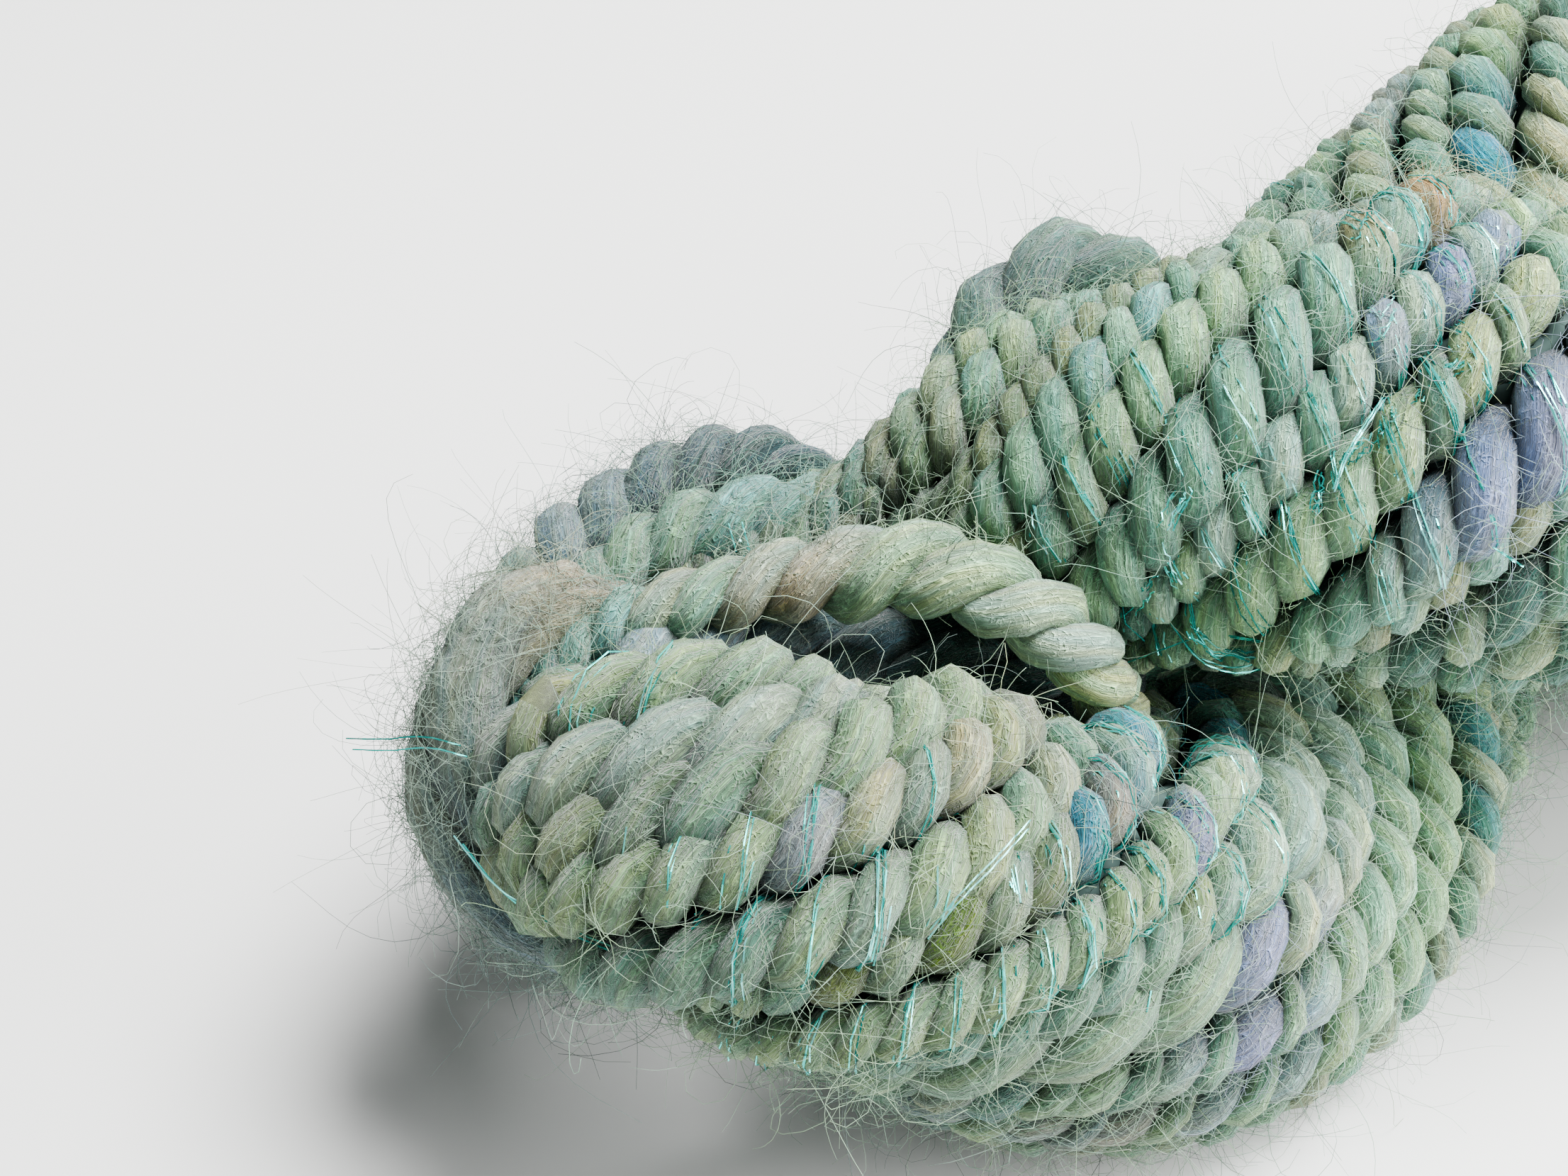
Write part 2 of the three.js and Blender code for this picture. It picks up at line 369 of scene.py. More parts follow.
# turns that lie deeper than their neighbours, by depth in mm
sunkTurns = [
    {"strand": 12, "reached": 4, "length": 20, "depth": 3.6},
    {"strand": 11, "reached": 4, "length": 22, "depth": 3.2},
    {"strand": 2, "reached": 3, "length": 9, "depth": 1.6},
    {"strand": 4, "reached": 24, "length": 14, "depth": 1.6},
]

# sRGB colours of the fleece; slate and darkTeal also serve as painted shade
palette = {
    "mint": (96, 140, 114),
    "sage": (80, 118, 92),
    "celadon": (128, 158, 112),
    "greyGreen": (66, 102, 88),
    "pale": (140, 164, 142),
    "paleGreen": (130, 162, 124),
    "aquaGrey": (78, 130, 120),
    "lilac": (122, 130, 138),
    "lavender": (112, 114, 150),
    "cream": (161, 155, 115),
    "straw": (143, 152, 101),
    "yellowGreen": (126, 142, 67),
    "peach": (166, 122, 78),
    "beige": (132, 124, 100),
    "olive": (74, 98, 0),
    "sageBrown": (105, 117, 82),
    "teal": (46, 116, 110),
    "aqua": (0, 116, 136),
    "slate": (46, 66, 70),
    "darkTeal": (28, 62, 58),
    "blueGrey": (84, 104, 110),
    "grey": (80, 94, 84),
}

# how the fleece's colours change along a ply, with lengths in mm
fleeceForm = {
    "seed": 5,
    "colours": ("greyGreen", "mint", "celadon", "mint", "sage", "mint", "pale", "celadon"),
    "slow": (0.62, 17),  # share of the colours' range, and length
    "quick": (0.25, 5),
    "accents": ("aquaGrey", "cream", "lilac", "straw", "beige"),
    "accentShare": 0.6,
    "accentLength": 8,
    "accentFrom": 0.66,
    "accentFade": 0.2,
    "tone": 0.94,
    "paintedLightFrom": -98,  # where along the part painted light starts to make the colours paler
    "paintedLightOver": 20,
    # painted light: how much each channel's colour is raised there
    "paler": (0.66, 0.8, 0.84),
    # painted shade where limb B's turns gather behind the eye: how much darker, and how much slate is added
    "gatheredShade": 0.45,
    "gatheredShadeTint": 0.4,
    # colour gain of the raised turns and of the turns in the eye; in the eye it is painted light, as little
    # light reaches them
    "proudTone": 1.4,
    "insideLightGain": 2,
    "proudNoise": (0.14, 6),
    "proudShift": 0.06,  # of the two plies' colours along a raised turn
}


def linear(colour):
    # an sRGB colour of 0 to 255 as the linear colour that shaders use
    share = np.asarray(colour, float) / 255
    return np.where(share <= 0.04045, share / 12.92, ((share + 0.055) / 1.055) ** 2.4)


def catmullRom(a, b, c, d, f):
    return b + 0.5 * f * (c - a + f * (2 * a - 5 * b + 4 * c - d + f * (3 * (b - c) + d - a)))


def wavyNoise(rng, total, spacing, places):
    # smooth noise between about -1 and 1 that closes on itself after total
    count = max(4, round(total / spacing))
    knots = rng.uniform(-1, 1, count)
    t = (np.asarray(places, float) % total) / total * count
    i = np.floor(t).astype(int)
    return catmullRom(*(knots[(i + k) % count] for k in (-1, 0, 1, 2)), t - i)


def stretchShare(stretch, place, total):
    # 1 in the middle of a slub or sunk turn and 0 away from it
    turns = hankForm["turns"]
    lap = next(k for k in range(turns) if (-k * ring["turnsPassed"]) % turns == stretch["strand"])
    away = np.abs((place - lap * ringLength - stretch["reached"] + total / 2) % total - total / 2)
    return np.exp(-((away / (plyForm["stretchHalf"] * stretch["length"])) ** 4))


def gatheredAt(reached):
    # 1 where limb B's turns draw together and 0 elsewhere
    fade = yarnWay["gatherFade"]
    return rise(reached, yarnWay["gatherFrom"], fade) * (1 - rise(reached, yarnWay["gatherTo"], fade))


def plyRadii(rng, place, total, settings, marks):
    radii = []
    for ply in range(2):
        slow = wavyNoise(rng, total, settings["thickLength"], place)
        quick = wavyNoise(rng, total, settings["thickLength"] / settings["quickTimes"], place)
        mix = np.clip(settings["slowShare"] * slow + settings["quickShare"] * quick, -1, 1)
        thinner, fatter = settings["middle"] - settings["thin"], settings["fat"] - settings["middle"]
        radius = settings["middle"] + mix * np.where(mix < 0, thinner, fatter)
        for mark in marks:
            if mark["ply"] in (ply, 2):
                share = stretchShare(mark, place, total)
                radius = radius * (1 - share) + settings["middle"] * mark["fat"] * share
        radii.append(radius)
    return radii


def yarnLine(settings):
    rng = np.random.default_rng(settings["seed"])
    turns, count = hankForm["turns"], hankForm["lineSteps"]
    total = turns * ringLength
    lap = np.repeat(np.arange(turns), count)
    step = np.tile(np.arange(count), turns)
    reached = ring["reached"][step]
    place = lap * ringLength + reached
    index = (-lap * ring["turnsPassed"]) % turns
    deep = wavyNoise(rng, total, settings["wanderLength"], place)
    shift = settings["sideWander"] * wavyNoise(rng, total, settings["wanderLength"], place)
    laid = ring["lay"] * ring["laid"][step]
    angle = 2 * np.pi * (index + 0.5 + shift) / turns + hankForm["layStart"] - laid
    outward = ring["across"][step] * np.cos(angle)[:, None] + ring["up"][step] * np.sin(angle)[:, None]
    along, side, middle = ring["along"][step], ring["side"][step], ring["point"][step]
    radii = plyRadii(np.random.default_rng(plyForm["seed"]), place, total, plyForm, slubs)
    radii = [radius * (1 - settings["sunkThinner"] * deep) for radius in radii]
    halfWidth = settings["halfWidth"] * (radii[0] + radii[1])
    depth = settings["depth"] + settings["depthShare"] * halfWidth + settings["depthWander"] * deep
    for turn in sunkTurns:
        depth = depth + turn["depth"] * stretchShare(turn, place, total)
    gathered = gatheredAt(reached)
    smaller = 1 - gathered * (1 - settings["gatherShare"])
    radius = (limbRadius(along, side, middle, outward) - depth) * smaller
    middle = middle + gathered[:, None] * np.array(settings["gatherShift"])
    centre = onOwnSide(middle + outward * radius[:, None], side, settings["slitShare"] * halfWidth)
    centre[:, 2] = np.maximum(centre[:, 2], settings["floorClear"] * halfWidth)
    thinner = 1 - settings["gatherThinner"] * gathered
    return {
        "place": place,
        "total": total,
        "index": index,
        "reached": reached,
        "gathered": gathered,
        "radiusOne": radii[0] * thinner,
        "radiusTwo": radii[1] * thinner,
        "middle": toPart(middle),
        "centre": toPart(centre),
    }


def evenly(line, settings):
    # picks the yarn's points so that they stand closer at the open end
    x = line["centre"][:, 0] - hankForm["start"][0]
    share = np.clip((x - settings["fineUntil"]) / settings["fineFade"] + 0.5, 0, 1)
    wantedStep = settings["fineStep"] + (settings["coarseStep"] - settings["fineStep"]) * share
    length = np.linalg.norm(np.roll(line["centre"], -1, 0) - line["centre"], axis=1)
    weight = np.concatenate([[0], np.cumsum(length / wantedStep)])
    count = round(weight[-1])
    wanted = weight[-1] * np.arange(count) / count
    at = np.interp(wanted, weight, np.arange(len(weight)))
    low = np.floor(at).astype(int)
    picked = {"total": line["total"], "index": line["index"][low]}
    wraps = {"place": line["total"], "reached": ringLength}
    for name, values in line.items():
        if name in picked:
            continue
        following = np.roll(values, -1, 0)
        if name in wraps:
            following[values > following] += wraps[name]
        part = (at - low).reshape((-1,) + (1,) * (values.ndim - 1))
        picked[name] = values[low] * (1 - part) + following[low] * part
    return picked


yarn = evenly(yarnLine(yarnWay), yarnWay)


def addFrame(line, closed):
    centre = line["centre"]
    if closed:
        line["ahead"] = unit(np.roll(centre, -1, 0) - np.roll(centre, 1, 0))
        line["step"] = np.linalg.norm(np.roll(centre, -1, 0) - centre, axis=1)
    else:
        line["ahead"] = unit(np.gradient(centre, axis=0))
        line["step"] = np.append(np.linalg.norm(np.diff(centre, axis=0), axis=1), 0)
    outward = centre - line["middle"]
    line["out"] = unit(outward - line["ahead"] * dot(outward, line["ahead"])[:, None])
    line["beside"] = np.cross(line["ahead"], line["out"])


addFrame(yarn, True)
print("yarn line", len(yarn["place"]), "points,", ring["turnsPassed"], "turns a lap")
print("yarn length", round(yarn["total"] / 1000, 2), "m")

# Turns of the yarn that stand out from the wound form. Each dives into the others at both ends. Points
# are in mm in the part's frame, radii are one ply's at even steps along the turn, and its colours are
# spread in the same way.
# the slate and dark teal of the back turn and of the turns in the eye are painted shade
proudTurns = {
    "archTurn": {
        "points": [
            (-114.7, 27.4, 32.6), (-112.2, 27.6, 34.6), (-108.7, 26.9, 36.2), (-105.1, 24.7, 37.5),
            (-101.2, 21.1, 38.7), (-97.3, 17, 40.1), (-94.3, 12.7, 41.5), (-92.4, 8.8, 42.1),
            (-91.1, 5, 41.3), (-89.5, 1.6, 39.2), (-87.8, -0.2, 35.6), (-85.8, -0.3, 31),
        ],
        "radii": (1.0, 1.15, 1.45, 1.75, 1.9, 1.85, 1.6, 1.4),
        "colours": ("darkTeal", "aquaGrey", "mint", "beige", "pale", "celadon", "pale", "celadon", "straw"),
        "phase": 0.4,
    },
    "secondTurn": {
        "points": [
            (-107.5, 29.7, 34.1), (-103.4, 31.2, 35.4), (-98.9, 30.4, 36.4), (-94.2, 28, 37),
            (-90.1, 24.6, 37.2), (-87.4, 20.4, 36.4), (-85.6, 15.9, 35.2), (-84.4, 11.8, 33.7),
        ],
        "radii": (1.3, 1.75, 1.9, 1.75, 1.3),
        "colours": ("greyGreen", "sage", "aquaGrey", "sage", "greyGreen"),
        "phase": 2.0,
    },
    "backTurn": {
        "points": [
            (-112.1, 32.1, 33), (-109, 34, 34.1), (-104.6, 35.2, 35), (-99.6, 35.8, 35.8),
            (-95, 35.1, 36.9), (-91, 33.5, 37.5), (-87.7, 31, 37.4), (-86.5, 27.6, 36.3),
            (-87.6, 24.1, 34.9), (-89.1, 21.4, 33),
        ],
        "radii": (1.5, 1.8, 1.85, 1.8, 1.6, 1.3),
        "colours": ("greyGreen", "slate", "blueGrey", "slate", "slate", "darkTeal", "teal"),
        "phase": 1.1,
    },
    "capTurn": {
        "points": [
            (-104.6, 28.4, 35.4), (-108.6, 29.6, 37.6), (-112.9, 30, 38), (-116.9, 29.3, 36.5),
            (-119.8, 27.8, 33.9), (-121.5, 25.8, 31), (-122, 23.3, 27.8), (-121.5, 20.2, 24.7),
            (-119.6, 17.2, 21.4), (-116.8, 15.2, 19.6), (-113.6, 15.4, 21.5), (-111.5, 17, 25.5),
        ],
        "radii": (1.5, 2.1, 2.5, 2.7, 2.6, 2.2, 1.6, 1.4),
        "colours": ("beige", "beige", "grey", "grey", "blueGrey", "blueGrey", "grey", "grey"),
        "phase": 0.6,
        "nearness": 0.45,
        "pitchPerRadius": 11,
    },
    "darkTurn": {
        "points": [
            (-85.8, 15.7, 35.7), (-85, 17.4, 38.7), (-83.1, 18.8, 41.3), (-80.5, 19.4, 43.3),
            (-76.9, 19.2, 44.7), (-73.1, 19.5, 45.1),
        ],
        "radii": (1.2, 1.4, 1.3, 1.2),
        "colours": ("darkTeal", "teal", "sage", "darkTeal"),
        "phase": 0.7,
    },
    "topTurn": {
        "points": [
            (-76.4, 22.5, 41.6), (-72.4, 23.7, 44.4), (-68.2, 23.6, 46.5), (-63.9, 22.1, 47.3),
            (-61.1, 19.5, 46), (-59.6, 16, 43.9), (-60.6, 11.5, 41.6), (-62, 7, 39.8),
        ],
        "radii": (1.6, 2.2, 2.4, 2.2, 1.7, 1.5, 1.4),
        "colours": ("greyGreen", "slate", "greyGreen", "slate", "slate"),
        "phase": 0.7,
        "nearness": 0.55,
    },
    "eyeTurn": {
        "points": [
            (-109.7, 24, 35.4), (-104.4, 22.8, 34.4), (-98.5, 20.4, 32.8), (-93.3, 16.5, 31),
            (-89.2, 11.4, 29.6), (-86.2, 6, 28.4), (-82.3, 1.3, 26.4),
        ],
        "radii": (1.5, 2.0, 2.1, 2.1, 1.9),
        "colours": ("slate", "blueGrey", "slate", "darkTeal", "slate"),
        "phase": 0.7,
    },
    "lowEyeTurn": {
        "points": [
            (-109.5, 19.5, 34.6), (-103.4, 18.3, 32.8), (-96.9, 15.8, 30.4), (-91.2, 12.2, 27.8),
            (-86.9, 7.2, 25.6), (-82.2, 2.9, 23),
        ],
        "radii": (1.7, 2.3, 2.4, 2.2),
        "colours": ("darkTeal", "slate", "darkTeal", "darkTeal"),
        "phase": 1.9,
    },
    "deepEyeTurn": {
        "points": [
            (-103.5, 28.6, 30.5), (-99.4, 26.6, 31), (-94.4, 23, 30.8), (-89.5, 18.6, 29.8),
            (-85.1, 13.4, 27.8), (-81.3, 8.4, 25.4), (-78, 4.2, 23),
        ],
        "radii": (1.8, 2.5, 2.6, 2.4),
        "colours": ("darkTeal", "slate", "darkTeal", "darkTeal"),
        "phase": 0.2,
    },
}
insideTurns = ("eyeTurn", "lowEyeTurn", "deepEyeTurn")


def smoothThrough(points, count):
    # a curve through the points, as a Catmull-Rom spline at even steps of its parameter
    points = np.asarray(points, float)
    if points.ndim == 1:
        points = points[:, None]
    padded = np.concatenate([[2 * points[0] - points[1]], points, [2 * points[-1] - points[-2]]])
    t = np.linspace(0, len(points) - 1, count)
    i = np.minimum(np.floor(t).astype(int), len(points) - 2)
    return catmullRom(*(padded[i + k] for k in range(4)), (t - i)[:, None])


def openLine(turn, settings):
    dense = smoothThrough(turn["points"], settings["proudDense"])
    reached = np.concatenate([[0], np.cumsum(np.linalg.norm(np.diff(dense, axis=0), axis=1))])
    count = round(reached[-1] / settings["proudStep"]) + 1
    wanted = np.linspace(0, reached[-1], count)
    centre = np.stack([np.interp(wanted, reached, dense[:, k]) for k in range(3)], 1)
    radius = smoothThrough(turn["radii"], count)[:, 0]
    rng = np.random.default_rng(len(turn["points"]) * settings["proudSeed"] + count)
    line = {"centre": centre, "place": wanted, "total": reached[-1]}
    for name in ("radiusOne", "radiusTwo"):
        noise = wavyNoise(rng, reached[-1], settings["proudUnevenLength"], wanted)
        line[name] = radius * (1 + settings["proudUneven"] * noise)
    ringPoints = toPart(ring["point"])
    nearest = np.argmin(np.linalg.norm(centre[:, None] - ringPoints[None], axis=2), axis=1)
    line["middle"] = ringPoints[nearest]
    addFrame(line, False)
    return line


def windPlies(line, settings, closed, own):
    radii = [line["radiusOne"], line["radiusTwo"]]
    mean = (radii[0] + radii[1]) / 2
    nearness = own.get("nearness", settings["nearness"])
    pitch = own.get("pitchPerRadius", settings["pitchPerRadius"])
    loose = 1 + settings["looseGain"] * np.maximum(mean - settings["looseAbove"], 0)
    phase = own.get("phase", 0.0) + np.cumsum(2 * np.pi * line["step"] / (pitch * mean * loose))
    if closed:
        phase *= round(phase[-1] / (2 * np.pi)) * 2 * np.pi / phase[-1]
    apart = nearness * (radii[0] + radii[1])
    squares = radii[0] ** 2 + radii[1] ** 2
    plies = []
    for ply in range(2):
        away = apart * radii[1 - ply] ** 2 / squares
        turn = -phase + np.pi * ply
        arm = line["out"] * np.cos(turn)[:, None] + line["beside"] * np.sin(turn)[:, None]
        points = line["centre"] + arm * away[:, None]
        points[:, 2] = np.maximum(points[:, 2], radii[ply] * settings["floorClear"])
        plies.append({"points": points, "radius": radii[ply], "arm": arm, "line": line, "closed": closed})
    return plies


def spreadColours(rng, place, total, settings):
    # the fleece's own colours, drafted together so that they change slowly along a ply
    slow, slowLength = settings["slow"]
    quick, quickLength = settings["quick"]
    where = 0.5 + slow * wavyNoise(rng, total, slowLength, place)
    where = where + quick * wavyNoise(rng, total, quickLength, place)
    base = np.array([linear(palette[name]) for name in settings["colours"]])
    at = np.clip(where, 0, 0.999) * (len(base) - 1)
    low = np.floor(at).astype(int)
    part = (at - low)[:, None]
    colours = base[low] * (1 - part) + base[low + 1] * part
    for k, name in enumerate(settings["accents"]):
        noise = wavyNoise(rng, total, settings["accentLength"] + k, place)
        shown = np.clip((noise - settings["accentFrom"]) / settings["accentFade"], 0, 1)
        share = settings["accentShare"] * shown[:, None]
        colours = colours * (1 - share) + linear(palette[name]) * share
    return colours


def woundRuns(rng, settings):
    # the two plies of the wound yarn, with painted light that makes the second limb paler and painted shade
    # where its turns gather
    runs = windPlies(yarn, plyForm, True, {})
    for ply, run in enumerate(runs):
        colours = spreadColours(rng, yarn["place"], yarn["total"], settings)
        for slub in slubs:
            if slub["ply"] in (ply, 2):
                share = stretchShare(slub, yarn["place"], yarn["total"])[:, None]
                colours = colours * (1 - share) + linear(palette[slub["colour"]]) * share
        # painted shade where limb B's turns gather
        dim = settings["gatheredShade"] * yarn["gathered"][:, None]
        # painted light: colours paler further along the part
        paintedLightShare = np.clip((yarn["centre"][:, 0] - settings["paintedLightFrom"]) / settings["paintedLightOver"], 0, 1)
        tone = settings["tone"] + paintedLightShare[:, None] * np.array(settings["paler"])
        tint = linear(palette["slate"]) * dim * settings["gatheredShadeTint"]
        run["colours"] = colours * tone * (1 - dim) + tint
    return runs


def proudRuns(rng, settings):
    runs = []
    strength, length = settings["proudNoise"]
    for name, turn in proudTurns.items():
        line = openLine(turn, plyForm)
        for ply, run in enumerate(windPlies(line, plyForm, False, turn)):
            wanted = np.array([linear(palette[colour]) for colour in turn["colours"]])
            shift = settings["proudShift"] if ply else -settings["proudShift"]
            at = np.clip(line["place"] / line["total"] + shift, 0, 1) * (len(wanted) - 1)
            steps = np.arange(len(wanted))
            run["colours"] = np.stack([np.interp(at, steps, wanted[:, k]) for k in range(3)], 1)
            # painted light lifts the dark colours of the turns in the eye
            tone = settings["insideLightGain"] if name in insideTurns else settings["proudTone"]
            tone = tone + strength * wavyNoise(rng, line["total"], length, line["place"])
            run["colours"] *= tone[:, None]
            run["turn"] = name
            runs.append(run)
    return runs


colourRng = np.random.default_rng(fleeceForm["seed"])
runs = woundRuns(colourRng, fleeceForm)
openRuns = proudRuns(colourRng, fleeceForm)
runs += openRuns
print("runs of ply", len(runs), "with", sum(len(run["radius"]) for run in runs), "points")


def addObject(name, mesh):
    piece = bpy.data.objects.new(name, mesh)
    bpy.context.collection.objects.link(piece)
    return piece


def triangleProfile(name):
    data = bpy.data.curves.new(name, "CURVE")
    data.dimensions = "2D"
    spline = data.splines.new("POLY")
    spline.points.add(2)
    for i, point in enumerate(spline.points):
        turn = -2 * math.pi * i / 3
        point.co = (math.cos(turn) * mm, math.sin(turn) * mm, 0, 1)
    spline.use_cyclic_u = True
    return addObject(name, data)


def curveMesh(name, paths, sides, closed=False, tilts=None):
    # tubes along paths, each with points and radii in mm, with three sides or an even number from four up
    data = bpy.data.curves.new(name + "Curve", "CURVE")
    data.dimensions = "3D"
    data.twist_mode = "MINIMUM"
    profile = triangleProfile(name + "Profile") if sides == 3 else None
    if profile:
        data.bevel_mode = "OBJECT"
        data.bevel_object = profile
    else:
        data.bevel_depth = mm
        data.bevel_resolution = (sides - 4) // 2
    for points, radii in paths:
        spline = data.splines.new("POLY")
        spline.points.add(len(points) - 1)
        places = np.ones((len(points), 4), np.float32)
        places[:, :3] = points * mm
        spline.points.foreach_set("co", places.ravel())
        spline.points.foreach_set("radius", np.asarray(radii, np.float32))
        if tilts is not None:
            spline.points.foreach_set("tilt", np.asarray(tilts[:len(points)], np.float32))
        spline.use_cyclic_u = closed
    holder = addObject(name + "Holder", data)
    bpy.context.view_layer.update()
    graph = bpy.context.evaluated_depsgraph_get()
    mesh = bpy.data.meshes.new_from_object(holder.evaluated_get(graph))
    mesh.name = name
    if not closed:
        bm = bmesh.new()
        bm.from_mesh(mesh)
        bmesh.ops.holes_fill(bm, edges=[edge for edge in bm.edges if edge.is_boundary], sides=sides)
        bm.to_mesh(mesh)
        bm.free()
    mesh.shade_smooth()
    for item in filter(None, (holder, profile)):
        itemData = item.data
        bpy.data.objects.remove(item)
        bpy.data.curves.remove(itemData)
    return mesh


def setAttribute(mesh, name, values, kind):
    attribute = mesh.attributes.new(name, kind, "POINT")
    field = {"FLOAT_COLOR": "color", "FLOAT_VECTOR": "vector"}[kind]
    attribute.data.foreach_set(field, np.asarray(values, np.float32).ravel())


def setColours(mesh, colours):
    # the linear colours that the yarn's materials read, one for each vertex, with painted shade on the plies
    setAttribute(mesh, "colourAndPaintedShade", np.column_stack([colours, np.ones(len(colours))]), "FLOAT_COLOR")


def vertexPlaces(mesh):
    places = np.empty(len(mesh.vertices) * 3, np.float32)
    mesh.vertices.foreach_get("co", places)
    return places.reshape(-1, 3) / mm


# surface of the plies, with painted shade deep between the turns and where the two plies meet
surfaceForm = {
    "seed": 31,
    "lumps": 0.13,  # mm, of a ply's surface
    "lumpScale": 0.9,
    "lumpWaves": 9,
    "lumpSpread": 1.3,
    "lumpPhases": 6.3,
    "floorGap": 0.05,
    "darkestShade": 0.11,  # painted shade: colour deep between the turns, as a share of that on top
    "shadeDepth": 3.7,
    "shadeCurve": 1.4,
    # how far the deep painted shade is tinted towards dark teal
    "deepShadeTint": 0.5,
    "proudShade": 0.75,  # painted shade of a raised turn's middle, and how much lighter its outer side is
    "proudShadeGain": 0.5,
    "insideShade": 0.8,  # least shade share for the turns in the eye, so their painted shade stays light
    "creaseShade": 0.26,  # painted shade where the two plies meet: colour there as a share of that elsewhere
    "creaseFrom": -0.7,
    "creaseOver": 1.1,
}


def depthShade(places, run, sides):
    # painted shade: 0 deep between the wound turns and 1 on top of them
    line = run["line"]
    fromMiddle = np.linalg.norm(places - np.repeat(line["middle"], sides, 0), axis=1)
    width = line["radiusOne"] + line["radiusTwo"]
    top = np.linalg.norm(line["centre"] - line["middle"], axis=1) + width
    return np.clip(1 + (fromMiddle - np.repeat(top, sides)) / surfaceForm["shadeDepth"], 0, 1)


def proudShade(places, run, sides):
    # the same for a raised turn, by how far out on the turn a place is
    line = run["line"]
    arm = places - np.repeat(line["centre"], sides, 0)
    width = np.repeat(line["radiusOne"] + line["radiusTwo"], sides)
    outer = dot(arm, np.repeat(line["out"], sides, 0))
    shade = np.clip(surfaceForm["proudShade"] + surfaceForm["proudShadeGain"] * outer / width, 0, 1)
    return np.clip(shade, surfaceForm["insideShade"], 1) if run["turn"] in insideTurns else shade


def plyColoursWithShade(places, run, sides):
    # colour with painted shade: darker deep between the turns, on a raised turn's inner side and where the
    # two plies meet, tinted dark teal in the deep
    shade = depthShade(places, run, sides) if run["closed"] else proudShade(places, run, sides)
    share = surfaceForm["darkestShade"] + (1 - surfaceForm["darkestShade"]) * shade ** surfaceForm["shadeCurve"]
    outer = dot(unit(places - np.repeat(run["points"], sides, 0)), np.repeat(run["arm"], sides, 0))
    clear = np.clip((outer - surfaceForm["creaseFrom"]) / surfaceForm["creaseOver"], 0, 1)
    share *= surfaceForm["creaseShade"] + (1 - surfaceForm["creaseShade"]) * clear
    colour = np.repeat(run["colours"], sides, 0) * share[:, None]
    tint = linear(palette["darkTeal"]) / np.mean(linear(palette["darkTeal"]))
    return colour * (1 + (tint - 1) * surfaceForm["deepShadeTint"] * (1 - shade)[:, None])


def fibreSpace(run, sides):
    # each vertex's place on a straightened ply, in mm, so that drawn fibres can follow the ply
    turn = 2 * np.pi * np.tile(np.arange(sides), len(run["radius"])) / sides
    steps = np.linalg.norm(np.diff(run["points"], axis=0, prepend=run["points"][:1]), axis=1)
    along = np.repeat(np.cumsum(steps), sides)
    around = np.repeat(run["radius"], sides)
    return np.stack([np.cos(turn) * around, np.sin(turn) * around, along], 1)


def lumpWave(rng, places):
    waves = surfaceForm["lumpWaves"]
    directions = rng.normal(0, surfaceForm["lumpSpread"], (waves, 3))
    phases = rng.uniform(0, surfaceForm["lumpPhases"], waves)
    lumpy = places * (1 / surfaceForm["lumpScale"])
    wave = sum(np.sin(lumpy @ direction + phase) for direction, phase in zip(directions, phases))
    return wave / math.sqrt(waves)


def finishPly(mesh, plyRuns, sides):
    # colour with painted shade, fibre places and lumps of tubes made from these runs, in their order
    places = vertexPlaces(mesh)
    ends = np.cumsum([len(run["radius"]) * sides for run in plyRuns])
    parts = np.split(places, ends[:-1])
    colours = np.concatenate([plyColoursWithShade(part, run, sides) for part, run in zip(parts, plyRuns)])
    spaces = np.concatenate([fibreSpace(run, sides) for run in plyRuns])
    centres = np.concatenate([np.repeat(run["points"], sides, 0) for run in plyRuns])
    wave = lumpWave(np.random.default_rng(surfaceForm["seed"]), places)
    places = places + unit(places - centres) * (surfaceForm["lumps"] * wave)[:, None]
    places[:, 2] = np.maximum(places[:, 2], surfaceForm["floorGap"])
    mesh.vertices.foreach_set("co", (places * mm).astype(np.float32).ravel())
    setColours(mesh, np.clip(colours, 0, 1))
    setAttribute(mesh, "fibreSpace", spaces * mm, "FLOAT_VECTOR")
    mesh.update()


def makeYarnPiece(name, plyRuns, sides, closed):
    mesh = curveMesh(name, [(run["points"], run["radius"]) for run in plyRuns], sides, closed=closed)
    finishPly(mesh, plyRuns, sides)
    print(name, len(mesh.polygons), "faces")
    return addObject(name, mesh)


yarnPieces = [
    makeYarnPiece("plyOne", runs[:1], plyForm["sides"], True),
    makeYarnPiece("plyTwo", runs[1:2], plyForm["sides"], True),
    makeYarnPiece("proudTurns", openRuns, plyForm["proudSides"], False),
]

# the inside of the limbs, dark as painted shade in the gaps between the turns
coreForm = {
    "depth": 4.6,  # under the limb's surface
    "sides": 22,
    "step": 11,  # of the ring's points, from one row to the next
    "gatherShare": 0.8,  # of the yarn's own
    "slitMargin": 2.2,
    "floorHeight": 1.5,
    # dark, as painted shade seen between the turns
    "colour": (62, 82, 78),
}


